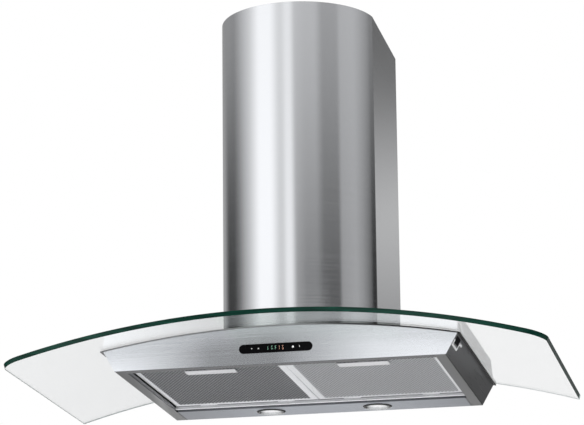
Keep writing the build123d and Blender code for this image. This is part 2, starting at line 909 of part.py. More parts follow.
def impeller_blades(x0, x1):
    """A ring of leaning blades between the disc and an end ring."""
    middle_r = impeller_r - impeller_ring / 2
    blades = []
    for index in range(blade_count):
        turn = 360 / blade_count * index
        blade = Pos(middle_r, 0, 0) * Rot(0, 0, blade_lean)
        blade = blade * Box(blade_depth, blade_thick, x1 - x0)
        blades.append(Rot(0, 0, turn) * blade)
    return [Pos((x0 + x1) / 2, axle_y, axle_z) * Rot(0, 90, 0) * blade for blade in blades]


def impeller():
    disc = rod_x(axle_y, axle_z, -impeller_disc / 2, impeller_disc / 2, impeller_r)
    hub = rod_x(axle_y, axle_z, -hub_length, 0, hub_r)
    wheel = disc + hub
    for side in (-1, 1):
        ends = sorted((side * (impeller_half_x - impeller_end), side * impeller_half_x))
        ring = rod_x(axle_y, axle_z, ends[0], ends[1], impeller_r)
        ring -= rod_x(axle_y, axle_z, ends[0] - over, ends[1] + over, impeller_r - impeller_ring)
        reach = sorted((side * impeller_disc / 2, side * (impeller_half_x - impeller_end)))
        wheel = wheel + ring + impeller_blades(reach[0], reach[1])
    return wheel - rod_x(axle_y, axle_z, -hub_length - over, motor_near_x, shaft_r)


parts["impeller"] = impeller()
parts["motor_shaft"] = rod_x(axle_y, axle_z, -hub_length, motor_bore_far_x - shaft_end_gap, shaft_r)

grommet_near_x = scroll_half_x
arm_near_x = scroll_half_x + grommet_height


def motor():
    can = rod_x(axle_y, axle_z, motor_near_x, motor_far_x, motor_r)
    can = fillet(can.edges().filter_by(GeomType.CIRCLE), motor_round)
    boss = rod_x(axle_y, axle_z, motor_far_x, arm_near_x, motor_boss_r)
    bore = rod_x(axle_y, axle_z, motor_near_x - over, motor_bore_far_x, shaft_r + shaft_clear)
    return can + boss - bore


parts["motor"] = motor()


def motor_bracket():
    x0, x1 = arm_near_x, arm_near_x + arm_thick
    bracket = rod_x(axle_y, axle_z, x0, x1, arm_hub_r)
    for index in range(arm_count):
        arm = Pos(arm_reach / 2, 0, 0) * Box(arm_reach, 2 * arm_half_width, arm_thick)
        stand = Plane(origin=((x0 + x1) / 2, axle_y, axle_z), x_dir=(0, 1, 0), z_dir=(1, 0, 0))
        bracket += stand * Rot(0, 0, arm_turn(index)) * arm
    for y, z in arm_places():
        bracket -= rod_x(y, z, x0 - over, x1 + over, screw_r + screw_clear)
    return bracket


parts["motor_bracket"] = motor_bracket()


def grommet(y, z):
    ring = rod_x(y, z, grommet_near_x, arm_near_x, grommet_r)
    return ring - rod_x(y, z, grommet_near_x - over, arm_near_x + over, screw_r + screw_clear)


parts["motor_grommets"] = group(*[grommet(y, z) for y, z in arm_places()])

# -------------------------------------------- outlet collar and non-return flaps

flap_z = case_high_z + flap_level


def outlet_collar():
    foot = rod_z(0, outlet_y, case_high_z, case_high_z + collar_flange_thick, collar_flange_r)
    foot &= block(-tall, tall, case_front_y, case_rear_y, 0, tall)
    tube = rod_z(0, outlet_y, case_high_z, case_high_z + spigot_height, spigot_r)
    collar = foot + tube - rod_z(0, outlet_y, case_high_z - over, tall, bore_r)
    ledge_high = flap_z - flap_thick / 2 - run_gap
    ledge = rod_z(0, outlet_y, ledge_high - ledge_height, ledge_high, (spigot_r + bore_r) / 2)
    ledge -= rod_z(0, outlet_y, case_high_z, tall, bore_r - ledge_width)
    for x in (-flap_pin_x, flap_pin_x):
        ledge -= rod_y(x, flap_z, outlet_y - spigot_r, outlet_y + spigot_r,
                       flap_pin_r + seat_gap)
    return collar + ledge - collar_screw_holes()


parts["outlet_collar"] = outlet_collar()


def damper_pin(x):
    pin = rod_y(x, flap_z, outlet_y - spigot_r, outlet_y + spigot_r, flap_pin_r)
    return pin & rod_z(0, outlet_y, 0, tall, bore_r)


parts["damper_pins"] = group(damper_pin(-flap_pin_x), damper_pin(flap_pin_x))


def damper_flap_right():
    disc = rod_z(0, outlet_y, flap_z - flap_thick / 2, flap_z + flap_thick / 2, flap_r)
    blade = disc & block(flap_pin_x, tall, -tall, tall, 0, tall)
    half = flap_knuckle_length / 2
    blade += rod_y(flap_pin_x, flap_z, outlet_y - half, outlet_y + half, flap_knuckle_r)
    space = rod_y(flap_pin_x, flap_z, outlet_y - tall, outlet_y + tall, flap_pin_r + seat_gap)
    return blade - space - corner_relief()


def corner_relief():
    """Room beside the knuckle, where the blade would meet the pin's ends."""
    half = flap_knuckle_length / 2
    reach = flap_pin_x + flap_knuckle_r
    ends = [block(0, reach, outlet_y + half, outlet_y + spigot_r, 0, tall),
            block(0, reach, outlet_y - spigot_r, outlet_y - half, 0, tall)]
    return ends[0] + ends[1]


parts["damper_flap_right"] = damper_flap_right()
parts["damper_flap_left"] = mirrored(parts["damper_flap_right"])

# ---------------------------------------------------- junction box and capacitor


def lid_screw_places():
    """The lid's four screws, as places in the XZ plane."""
    heights = (box_low_z + lid_screw_inset, box_high_z - lid_screw_inset)
    return [(side * (box_half_x - lid_screw_inset), z) for side in (-1, 1) for z in heights]


def junction_box():
    lid_y = box_rear_y - lid_thick
    outer = block(-box_half_x, box_half_x, case_rear_y, lid_y, box_low_z, box_high_z)
    inner = block(-box_half_x + box_wall, box_half_x - box_wall, case_rear_y + box_wall, 0,
                  box_low_z + box_wall, box_high_z - box_wall)
    entry = rod_z(gland_x, (case_rear_y + lid_y) / 2, box_low_z - over,
                  box_low_z + box_wall + over, gland_stud_r + screw_clear)
    box = outer - inner - entry
    for x, z in lid_screw_places():
        box += rod_y(x, z, case_rear_y, lid_y, box_boss_r)
        box -= rod_y(x, z, lid_y - screw_length, lid_y, screw_r + screw_clear)
    return box


parts["junction_box"] = junction_box()


def junction_lid():
    lid = block(-box_half_x, box_half_x, box_rear_y - lid_thick, box_rear_y, box_low_z, box_high_z)
    for x, z in lid_screw_places():
        lid -= rod_y(x, z, -tall, tall, screw_r + screw_clear)
    return lid


parts["junction_lid"] = junction_lid()


def cable_gland():
    middle_y = (case_rear_y + box_rear_y - lid_thick) / 2
    nut = Pos(gland_x, middle_y, box_low_z - gland_length) * extrude(
        RegularPolygon(gland_r, 6), gland_length)
    stud = rod_z(gland_x, middle_y, box_low_z, box_low_z + box_wall + gland_stud_spare, gland_stud_r)
    return nut + stud - rod_z(gland_x, middle_y, 0, tall, gland_bore_r)


parts["cable_gland"] = cable_gland()


def capacitor():
    wall_x = case_half_x - case_sheet
    can = rod_z(wall_x - capacitor_r - capacitor_gap, capacitor_y, capacitor_low_z,
                capacitor_low_z + capacitor_length, capacitor_r)
    can = fillet(can.edges().group_by(Axis.Z)[-1], capacitor_round)
    foot_z0 = capacitor_low_z + capacitor_length / 2 - capacitor_foot
    foot = block(wall_x - capacitor_r, wall_x, capacitor_y - capacitor_foot,
                 capacitor_y + capacitor_foot, foot_z0, foot_z0 + 2 * capacitor_foot)
    return can + foot


parts["capacitor"] = capacitor()

# --------------------------------------------------------------------- chimney


def chimney_outline(inset):
    """The chimney's plan: flat sides to the wall and an arc in front."""
    half = chimney_half
    corner_y = -chimney_flat_depth
    nose_y = corner_y - chimney_sagitta
    sides = Polyline((-half, corner_y), (-half, 0), (half, 0), (half, corner_y))
    nose = ThreePointArc((half, corner_y), (0, nose_y), (-half, corner_y))
    face = make_face([sides, nose])
    bends = [v for v in face.vertices() if abs(v.Y - corner_y) < 1]
    face = fillet(bends, chimney_bend_r)
    return offset(face, -inset) if inset else face


def chimney_wrap(inset, thick):
    """A sheet that follows the chimney's plan, still closed at the wall."""
    return chimney_outline(inset) - chimney_outline(inset + thick)


upper_inset = chimney_sheet + slip_gap
upper_high_z = chimney_high_z - upper_drop
upper_low_z = upper_high_z - upper_length
lower_inner_x = chimney_half - chimney_sheet


def stop_tab(y):
    """A tab inside the lower section, under the upper one's edge."""
    high = upper_low_z - run_gap
    return block(lower_inner_x - stop_reach, lower_inner_x + chimney_sheet / 2,
                 y - stop_width / 2, y + stop_width / 2, high - stop_thick, high)


def chimney_lower():
    opening = rectangle(-chimney_half + chimney_return, chimney_half - chimney_return,
                        -chimney_sheet * 2, chimney_sheet)
    wrap = plan(chimney_wrap(0, chimney_sheet) - opening, 0, chimney_high_z)
    wrap -= arch_solid(glass_top_r + seat_gap)
    for y in glide_depths:
        wrap = wrap + stop_tab(y) + mirrored(stop_tab(y))
    return wrap


parts["chimney_lower"] = chimney_lower()


def chimney_upper():
    rear_y = -2 * chimney_sheet
    keep = rectangle(-chimney_half, chimney_half, -tall, rear_y)
    wrap = chimney_wrap(upper_inset, chimney_sheet) & keep
    inner_half = chimney_half - upper_inset - chimney_sheet
    wrap -= rectangle(-inner_half, inner_half, rear_y - upper_inset * 2, 0)
    return plan(wrap, upper_low_z, upper_high_z)


parts["chimney_upper"] = chimney_upper()


def glide(y, z):
    thick, width, height = glide_size
    return block(lower_inner_x - thick, lower_inner_x, y - width / 2, y + width / 2,
                 z - height / 2, z + height / 2)


glides = []
for depth in glide_depths:
    for height in (chimney_high_z - glide_high, glide_low):
        glides += [glide(depth, height), mirrored(glide(depth, height))]
parts["chimney_glides"] = group(*glides)


def chimney_foot(y):
    """A folded bracket from the blower case to the chimney's side."""
    bridge = block(case_half_x, lower_inner_x, y - foot_width / 2, y + foot_width / 2,
                   foot_z, foot_z + foot_thick)
    inner = block(case_half_x, case_half_x + foot_thick, y - foot_width / 2, y + foot_width / 2,
                  foot_z, foot_z + foot_leg)
    outer = block(lower_inner_x - foot_thick, lower_inner_x, y - foot_width / 2,
                  y + foot_width / 2, foot_z, foot_z + foot_leg)
    return bridge + inner + outer


feet = []
for depth in foot_depths:
    feet += [chimney_foot(depth), mirrored(chimney_foot(depth))]
parts["chimney_feet"] = group(*feet)


def chimney_bracket():
    wing_x = chimney_half - upper_inset - chimney_sheet - run_gap
    z0, z1 = bracket_low_z, bracket_low_z + bracket_height
    plate = block(-bracket_half_x, bracket_half_x, -bracket_thick, 0, z0, z1)
    for side in (-1, 1):
        reach = sorted((side * (bracket_half_x - bracket_lap), side * wing_x))
        step = block(reach[0], reach[1], -2 * bracket_thick, -bracket_thick, z0, z1)
        wing = sorted((side * (wing_x - bracket_thick), side * wing_x))
        plate = plate + step + block(wing[0], wing[1], -bracket_wing, -bracket_thick, z0, z1)
        plate -= rod_y(side * bracket_hole_x, (z0 + z1) / 2, -tall, tall, bracket_hole_r)
    return plate


parts["chimney_bracket"] = chimney_bracket()

# ---------------------------------------------------------------- small screws


def pan_screw(place, length=screw_length):
    """A pan-head screw: its head rests at the place's origin, its shank points down."""
    head = Pos(0, 0, screw_head_height / 2) * Cylinder(screw_head_r, screw_head_height)
    head = fillet(head.edges().group_by(Axis.Z)[-1], screw_head_round)
    return place * (head + rod_z(0, 0, -length, 0, screw_r))


screws = [pan_screw(Pos(x, y, body_sheet + ear_thick), ear_screw_length)
          for x, y in ear_screw_places()]
screws += [pan_screw(Pos(x, y, case_high_z + collar_flange_thick))
           for x, y in collar_screw_places()]
screws += [pan_screw(Pos(arm_near_x + arm_thick, y, z) * Rot(0, 90, 0)) for y, z in arm_places()]
screws += [pan_screw(Pos(x, box_rear_y, z) * Rot(-90, 0, 0)) for x, z in lid_screw_places()]
parts["pan_screws"] = group(*screws)

# ---------------------------------------------------------------------- output

os.makedirs("parts", exist_ok=True)
for name, shape in parts.items():
    export_step(shape, os.path.join("parts", name + ".step"))
print(len(parts), "nodes written")
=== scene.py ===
# %% [markdown]
# # Curved glass range hood
#
# The hood is built round a fixed frame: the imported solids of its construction,
# which hold every real size and every joint. This script gives the hood its
# looks. Everything is in metres, X to the viewer's right, Y to the wall, Z up.

# %% Load the frame
import bpy
import bmesh
import math
from mathutils import Matrix, Vector


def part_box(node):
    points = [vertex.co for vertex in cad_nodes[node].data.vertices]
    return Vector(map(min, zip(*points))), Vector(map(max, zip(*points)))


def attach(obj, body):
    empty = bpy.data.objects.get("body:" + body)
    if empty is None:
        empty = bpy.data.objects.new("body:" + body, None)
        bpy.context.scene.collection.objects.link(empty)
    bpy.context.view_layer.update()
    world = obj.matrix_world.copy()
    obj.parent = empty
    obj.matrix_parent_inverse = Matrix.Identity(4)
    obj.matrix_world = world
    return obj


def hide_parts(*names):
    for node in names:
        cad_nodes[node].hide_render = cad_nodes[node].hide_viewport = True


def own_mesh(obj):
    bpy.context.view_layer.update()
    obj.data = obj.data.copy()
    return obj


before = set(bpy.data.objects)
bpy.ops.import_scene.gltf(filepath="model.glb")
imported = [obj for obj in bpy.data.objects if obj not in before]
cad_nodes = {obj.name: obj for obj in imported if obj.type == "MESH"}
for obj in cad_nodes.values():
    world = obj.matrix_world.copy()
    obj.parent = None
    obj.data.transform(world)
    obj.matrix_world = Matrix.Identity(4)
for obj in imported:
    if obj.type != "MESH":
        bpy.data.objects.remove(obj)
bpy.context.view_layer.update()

# %% [markdown]
# ## Camera
#
# The hood was photographed from low in front and a little to the right, with a
# long lens: its vertical edges stay almost parallel. A lens of 179 mm from five
# metres away gives the same outline.

# %% Place the camera
camera_place = Vector((0.948254, -5.011319, -1.003265))
camera_yaw, camera_pitch, camera_roll = 0.198964, 0.263348, -0.010674
camera_lens, sensor_width, sight_limit = 178.913, 36, 40


def linked(name, data):
    """A new object in the scene."""
    obj = bpy.data.objects.new(name, data)
    bpy.context.scene.collection.objects.link(obj)
    return obj


def add_camera():
    ahead = Vector((-math.sin(camera_yaw) * math.cos(camera_pitch),
                    math.cos(camera_yaw) * math.cos(camera_pitch), math.sin(camera_pitch)))
    level = Vector((math.cos(camera_yaw), math.sin(camera_yaw), 0))
    upright = level.cross(ahead)
    right = math.cos(camera_roll) * level + math.sin(camera_roll) * upright
    up = math.cos(camera_roll) * upright - math.sin(camera_roll) * level
    lens = bpy.data.cameras.new("camera")
    lens.lens, lens.sensor_width, lens.clip_end = camera_lens, sensor_width, sight_limit
    camera = linked("camera", lens)
    turn = Matrix((right, up, -ahead)).transposed().to_4x4()
    camera.matrix_world = Matrix.Translation(camera_place) @ turn
    bpy.context.scene.camera = camera


add_camera()
print("camera:", camera_lens, "mm lens")

# %% [markdown]
# ## Node helpers
#
# Materials and geometry recipes are both written as nodes. One helper adds a
# node, sets its options and fills or links its sockets. A number in a tree can
# be added, multiplied and compared like a plain one: each step writes its node.

# %% Write nodes in one line each
class Number:
    """A value in a node tree; arithmetic on it writes the node for each step."""

    def __init__(self, tree, source):
        self.tree, self.socket = tree, output_of(source)

    def step(self, operation, other=0.0):
        node = add_node(self.tree, "ShaderNodeMath", {0: self, 1: other}, operation=operation)
        return Number(self.tree, node)

    def __add__(self, other):
        return self.step("ADD", other)

    def __sub__(self, other):
        return self.step("SUBTRACT", other)

    def __mul__(self, other):
        return self.step("MULTIPLY", other)

    def __truediv__(self, other):
        return self.step("DIVIDE", other)

    def __lt__(self, other):
        return self.step("LESS_THAN", other)


def output_of(source):
    """The socket of a number, or of a node's first output in use; anything else stays."""
    if isinstance(source, Number):
        return source.socket
    if isinstance(source, bpy.types.Node):
        return next(output for output in source.outputs if output.enabled)
    return source


def add_node(tree, kind, sockets=None, **options):
    """A node with its options set; a socket's value may be plain or come from another node."""
    node = tree.nodes.new(kind)
    for option, value in options.items():
        setattr(node, option, value)
    for key, value in (sockets or {}).items():
        value = output_of(value)
        if isinstance(value, bpy.types.NodeSocket):
            tree.links.new(value, node.inputs[key])
        else:
            node.inputs[key].default_value = value
    return node


def split(tree, vector):
    """A vector's numbers, by axis."""
    node = add_node(tree, "ShaderNodeSeparateXYZ", {"Vector": vector})
    return {output.name: Number(tree, output) for output in node.outputs}


def object_place(tree):
    return add_node(tree, "ShaderNodeTexCoord").outputs["Object"]


def spread(tree, value, low, high, from_low=0.0, from_high=1.0):
    """A value moved from one range to another."""
    sockets = {"Value": value, "From Min": from_low, "From Max": from_high, "To Min": low, "To Max": high}
    return Number(tree, add_node(tree, "ShaderNodeMapRange", sockets))


def blend_colours(tree, factor, stops):
    """A colour ramp; each stop is a position and a colour."""
    ramp = add_node(tree, "ShaderNodeValToRGB", {"Fac": factor})
    elements = ramp.color_ramp.elements
    while len(elements) < len(stops):
        elements.new(0.5)
    for element, (position, colour) in zip(elements, stops):
        element.position = position
        element.color = (*colour, 1)
    return ramp


def start_material(name, **settings):
    """A material with a principled shader whose plain sockets are set."""
    material = bpy.data.materials.new(name)
    material.use_nodes = True
    shader = material.node_tree.nodes["Principled BSDF"]
    for socket, value in settings.items():
        shader.inputs[socket.replace("_", " ")].default_value = value
    return material, material.node_tree, shader


def drive(tree, shader, **sources):
    """Links a shader's sockets to what gives their values."""
    for socket, source in sources.items():
        tree.links.new(output_of(source), shader.inputs[socket.replace("_", " ")])


def paint(tree, shader, pattern, colour, dark, light):
    """Varies a colour gently with a pattern."""
    drive(tree, shader, Base_Color=blend_colours(tree, pattern, shades(colour, dark, light)))


def object_noise(tree, scale, detail=3.0, stretch=(1, 1, 1)):
    """Noise in the object's own metres, stretched along an axis where asked."""
    place = add_node(tree, "ShaderNodeMapping", {"Vector": object_place(tree), "Scale": stretch})
    return add_node(tree, "ShaderNodeTexNoise", {"Vector": place, "Scale": scale, "Detail": detail})


def raise_surface(tree, shader, height, strength, distance):
    """Fine relief from a height."""
    sockets = {"Height": height, "Strength": strength, "Distance": distance}
    drive(tree, shader, Normal=add_node(tree, "ShaderNodeBump", sockets))


def shades(colour, dark, light):
    """Two stops round a colour, for a gentle variation."""
    return [(0.3, [c * dark for c in colour]), (0.7, [c * light for c in colour])]


def tones_along(tree, axis, stops, brightest=1.0):
    """Tones given at places along one axis of the object, as shares of the brightest."""
    first, last = stops[0][0], stops[-1][0]
    along = spread(tree, split(tree, object_place(tree))[axis], 0, 1, first, last)
    return blend_colours(tree, along, [
        ((at - first) / (last - first), tone if isinstance(tone, tuple) else (tone / brightest,) * 3)
        for at, tone in stops])


def toned(material, axis, stops):
    """Multiplies a material's colour by tones along one axis of the object."""
    tree = material.node_tree
    shader = tree.nodes["Principled BSDF"]
    plain = shader.inputs["Base Color"].links[0].from_socket
    sockets = {0: plain, 1: tones_along(tree, axis, stops)}
    drive(tree, shader, Base_Color=add_node(tree, "ShaderNodeVectorMath", sockets, operation="MULTIPLY"))


print("node helpers ready")

# %% [markdown]
# ## Brushed stainless steel
#
# The chimney and the body are steel sheet, brushed along the horizontal. The
# brushing leaves long fine scratches, so a reflection smears across them, up
# and down, and stays sharp along them. The shader's anisotropy does that, and
# a map named grain on each piece tells it which way the brushing runs. Noise
# stretched along the grain gives the scratches themselves.

# %% Make brushed steel
grain_map = "grain"


def grain_noise(tree, scale, detail):
    """Noise drawn out along the brushing."""
    along = add_node(tree, "ShaderNodeUVMap", uv_map=grain_map)
    along = add_node(tree, "ShaderNodeMapping", {"Vector": along, "Scale": scale})
    sockets = {"Vector": along, "Scale": 1.0, "Detail": detail}
    return Number(tree, add_node(tree, "ShaderNodeTexNoise", sockets))


def brushed_steel(name, colour, roughness, anisotropy=0.8, scratch=0.05):
    material, tree, shader = start_material(name, Metallic=1.0, Anisotropic=anisotropy,
                                            Anisotropic_Rotation=0.25)
    mixed = (grain_noise(tree, (9, 1500, 1), 2.0) + grain_noise(tree, (3, 330, 1), 3.0)) * 0.5
    paint(tree, shader, mixed, colour, 1 - scratch, 1 + scratch)
    drive(tree, shader, Roughness=spread(tree, mixed, roughness - 0.04, roughness + 0.04, 0.3, 0.7),
          Tangent=add_node(tree, "ShaderNodeTangent", direction_type="UV_MAP", uv_map=grain_map))
    raise_surface(tree, shader, mixed, 0.12, 0.00004)
    return material


chimney_steel = brushed_steel("chimney_steel", (0.62, 0.63, 0.65), 0.20, 0.9, 0.02)
fascia_steel = brushed_steel("fascia_steel", (0.63, 0.65, 0.68), 0.24)
# The sides are the front's steel darkened: painted shade for the dark surroundings they mirror.
side_steel_shaded = brushed_steel("side_steel_shaded", (0.37, 0.375, 0.39), 0.30)
lamp_panel_steel = brushed_steel("lamp_panel_steel", (0.60, 0.63, 0.69), 0.30)
# The folded edges underneath get painted shade on their lower faces, for the hood's own
# shade that falls there. The lamp panel gets painted shade along its front edge and towards its ends.
toned(fascia_steel, "Z", [(0.0002, 0.22), (0.0012, 1.0)])
toned(side_steel_shaded, "Z", [(0.0004, 0.40), (0.0014, 1.0)])
toned(lamp_panel_steel, "Y", [(-0.0742, 0.30), (-0.0732, 1.0)])
toned(lamp_panel_steel, "X", [(-0.2585, 0.15), (-0.2575, 0.60), (-0.09, 0.88), (0.09, 0.88),
                              (0.2575, 0.58), (0.2585, 0.15)])
print("brushed steels: 4")

# %% [markdown]
# ## Glass
#
# Float glass looks clear through its faces and dark green at its edges, where
# the light has crossed a long way of it. The faces get a clear shader with a
# faint grey-green tint. The edges get their own darker one, which keeps them
# green from every side without a deep volume.

# %% Make the glass
def clear_glass(name, colour, roughness=0.0, ior=1.5):
    material, tree, shader = start_material(name, Transmission_Weight=1.0, IOR=ior, Roughness=roughness)
    paint(tree, shader, object_noise(tree, 6.0), colour, 0.985, 1.0)
    raise_surface(tree, shader, object_noise(tree, 9.0, 1.0), 0.02, 0.0004)
    return material


def frosted_glass(name, colour):
    """A ribbed lens that lets some light through, with a faint white glow painted in for the light its
    frosting scatters.
    """
    material, tree, shader = start_material(name, Transmission_Weight=0.15, IOR=1.45, Roughness=0.15,
                                            Emission_Color=(1, 1, 1, 1), Emission_Strength=0.22)
    patches = object_noise(tree, 160.0, 2.0)
    paint(tree, shader, patches, colour, 0.72, 1.0)
    raise_surface(tree, shader, patches, 0.1, 0.0003)
    return material


def green_edge(name):
    """Dark green, with a painted highlight in pale green along the rear and the left edge."""
    material, tree, shader = start_material(name, Roughness=0.2, IOR=1.5, Specular_IOR_Level=0.14)
    streak = object_noise(tree, 90.0, 3.0, (0.25, 0.25, 3.0))
    stops = [(0.3, (0.001, 0.015, 0.010)), (0.62, (0.002, 0.032, 0.021)), (0.85, (0.008, 0.075, 0.052))]
    place = split(tree, object_place(tree))
    # Painted highlight: the edge turns pale towards the rear and along the left end.
    rear = spread(tree, place["Y"], 0, 1, -0.020, -0.012)
    left = spread(tree, place["X"], 1, 0, -0.444, -0.438) * spread(tree, place["Y"], 0, 1, -0.50, -0.46)
    sockets = {0: rear.step("MAXIMUM", left), 6: blend_colours(tree, streak, stops), 7: (0.62, 0.70, 0.69, 1)}
    mixed = add_node(tree, "ShaderNodeMix", sockets, data_type="RGBA")
    drive(tree, shader, Base_Color=mixed.outputs[2])
    return material


canopy_glass = clear_glass("canopy_glass", (0.960, 0.970, 0.976), ior=1.38)
canopy_tint = (0.955, 1.0, 0.965)
toned(canopy_glass, "X", [(-0.098, 1.0), (-0.080, canopy_tint), (0.182, canopy_tint), (0.215, 1.0)])
canopy_edge = green_edge("canopy_edge")
lens_glass = frosted_glass("lens_glass", (0.95, 0.96, 0.97))
print("glass: 3")

# %% [markdown]
# ## Other finishes
#
# The rest is plain workshop stuff: zinc-coated sheet, bright fasteners, rolled
# aluminium, rubber and moulded plastic. Each has a grain of its own size.

# %% Make the sheet, casting and plastic finishes
def zinc_sheet(name, colour):
    """Galvanised sheet, with the large pale flowers of its coating."""
    material, tree, shader = start_material(name, Metallic=1.0)
    flowers = add_node(tree, "ShaderNodeTexVoronoi", {"Vector": object_place(tree), "Scale": 70.0})
    tone = add_node(tree, "ShaderNodeSeparateColor", {"Color": flowers.outputs["Color"]})
    paint(tree, shader, tone, colour, 0.86, 1.08)
    drive(tree, shader, Roughness=spread(tree, tone, 0.34, 0.5))
    raise_surface(tree, shader, object_noise(tree, 900.0, 2.0), 0.1, 0.00003)
    return material


def plain_metal(name, colour, roughness, grain=600.0, metallic=1.0, relief=0.1):
    material, tree, shader = start_material(name, Metallic=metallic)
    noise = object_noise(tree, grain)
    paint(tree, shader, noise, colour, 0.92, 1.05)
    drive(tree, shader, Roughness=spread(tree, noise, roughness * 0.8, roughness * 1.25, 0.3, 0.7))
    raise_surface(tree, shader, noise, relief, 0.00004)
    return material


def moulded_plastic(name, colour, roughness, grain=1400.0, relief=0.15):
    material, tree, shader = start_material(name, IOR=1.48)
    noise = object_noise(tree, grain, 2.0)
    paint(tree, shader, object_noise(tree, 24.0, 2.0), colour, 0.93, 1.05)
    drive(tree, shader, Roughness=spread(tree, noise, roughness - 0.06, roughness + 0.06, 0.3, 0.7))
    raise_surface(tree, shader, noise, relief, 0.00005)
    return material


def glowing_mark(name, colour, strength):
    """A mark that glows behind the black lens, a little uneven as such marks are; on the printed keys the
    glow is painted light.
    """
    material, tree, shader = start_material(name, Roughness=0.4, Emission_Strength=strength,
                                            Base_Color=(*colour, 1))
    uneven = object_noise(tree, 700.0, 1.0)
    drive(tree, shader, Emission_Color=blend_colours(tree, uneven, shades(colour, 0.85, 1.0)))
    return material


body_zinc = zinc_sheet("body_zinc", (0.55, 0.57, 0.58))
plate_steel = plain_metal("plate_steel", (0.50, 0.51, 0.52), 0.42, 300.0)
# Painted shade along the plate's edge: light in the middle, darker to the left, darkest to the right.
toned(plate_steel, "X", [(-0.28, 0.45), (-0.06, 0.9), (0.02, 0.9), (0.12, 0.08), (0.28, 0.02)])
filter_aluminium = plain_metal("filter_aluminium", (0.95, 0.96, 0.99), 0.34, 700.0, metallic=0.45)
# The rail is the filters' aluminium with painted shade on its faces above the lowest few millimetres.
rail_aluminium_shaded = plain_metal("rail_aluminium_shaded", (0.95, 0.96, 0.99), 0.34, 700.0, metallic=0.45)
toned(rail_aluminium_shaded, "Z", [(0.0034, 1.0), (0.0044, 0.55)])
# The foil pack's dark grey is painted shade, standing in for the shade among its layers of foil.
foil_aluminium = plain_metal("foil_aluminium", (0.20, 0.205, 0.21), 0.5, 900.0, relief=0.5)
strand_aluminium = plain_metal("strand_aluminium", (0.61, 0.62, 0.645), 0.42, 900.0)
grip_aluminium = plain_metal("grip_aluminium", (0.86, 0.86, 0.88), 0.34, 700.0)
lamp_chrome = plain_metal("lamp_chrome", (0.74, 0.75, 0.76), 0.12, 300.0, relief=0.02)
# Painted shade: the front part of each chromed ring is darkened to a dark crescent.
toned(lamp_chrome, "Y", [(-0.050, 0.06), (-0.040, 0.14), (-0.024, 1.0)])
bright_zinc = plain_metal("bright_zinc", (0.72, 0.73, 0.74), 0.24, 900.0)
polished_chrome = plain_metal("polished_chrome", (0.78, 0.79, 0.80), 0.07, 300.0, relief=0.02)
# The clip's near-white, unmetallic finish is a painted highlight standing in for its bright glint.
spring_steel = plain_metal("spring_steel", (0.93, 0.93, 0.94), 0.35, 900.0, metallic=0.0)
motor_paint = plain_metal("motor_paint", (0.05, 0.052, 0.055), 0.38, 500.0, metallic=0.3)
capacitor_can = plain_metal("capacitor_can", (0.62, 0.63, 0.65), 0.35, 400.0)
black_rubber = moulded_plastic("black_rubber", (0.018, 0.018, 0.019), 0.62, 1800.0, 0.3)
black_plastic = moulded_plastic("black_plastic", (0.022, 0.022, 0.024), 0.45)
white_plastic = moulded_plastic("white_plastic", (0.72, 0.72, 0.70), 0.42)
grey_plastic = moulded_plastic("grey_plastic", (0.16, 0.165, 0.17), 0.46)
lens_black = moulded_plastic("lens_black", (0.002, 0.002, 0.0025), 0.12, 300.0, 0.02)
lens_black.node_tree.nodes["Principled BSDF"].inputs["Specular IOR Level"].default_value = 0.08
board_green = moulded_plastic("board_green", (0.02, 0.14, 0.06), 0.35, 260.0, 0.4)
lead_white = moulded_plastic("lead_white", (0.66, 0.65, 0.62), 0.5, 900.0, 0.2)
bulb_glass = clear_glass("bulb_glass", (0.98, 0.98, 0.98), 0.25)
# The printed key marks glow: a painted glow that makes the print read bright.
key_print_glow = glowing_mark("key_print_glow", (0.80, 0.80, 0.80), 0.75)
mark_green = glowing_mark("mark_green", (0.30, 0.62, 0.45), 0.26)
mark_orange = glowing_mark("mark_orange", (0.80, 0.42, 0.30), 0.32)
print("materials:", len(bpy.data.materials))

# %% [markdown]
# ## Solids from outlines
#
# Folded sheet is an outline pushed along a line: draw the fold once, with its
# bend radii, and extrude it. Round parts are a profile turned about an axis.
# Both helpers close the shape and turn its faces outwards.

# %% Outlines, prisms and turned parts
mm = 0.001
weld = 0.000001


def mesh_of(name, points, faces):
    mesh = bpy.data.meshes.new(name)
    mesh.from_pydata([tuple(point) for point in points], [], faces)
    return mesh


def solid(name, points, faces):
    """A closed mesh object with its faces outwards."""
    mesh = mesh_of(name, points, faces)
    form = bmesh.new()
    form.from_mesh(mesh)
    bmesh.ops.remove_doubles(form, verts=form.verts, dist=weld)
    bmesh.ops.dissolve_degenerate(form, edges=form.edges, dist=weld)
    bmesh.ops.recalc_face_normals(form, faces=form.faces)
    form.to_mesh(mesh)
    form.free()
    return linked(name, mesh)


def ring_faces(rings, size, closed=False):
    """Faces between neighbouring rings of points; an open row of rings gets its ends."""
    faces = []
    for ring in range(rings if closed else rings - 1):
        here, there = ring * size, (ring + 1) % rings * size
        faces += [(here + k, here + (k + 1) % size, there + (k + 1) % size, there + k) for k in range(size)]
    if closed:
        return faces
    last = (rings - 1) * size
    return [tuple(range(size))] + faces + [tuple(range(last + size - 1, last - 1, -1))]


def arc(centre_u, centre_v, radius, start, end, steps):
    """Points along an arc, its angles in degrees."""
    turns = [math.radians(start + (end - start) * step / steps) for step in range(steps + 1)]
    return [(centre_u + radius * math.cos(turn), centre_v + radius * math.sin(turn)) for turn in turns]


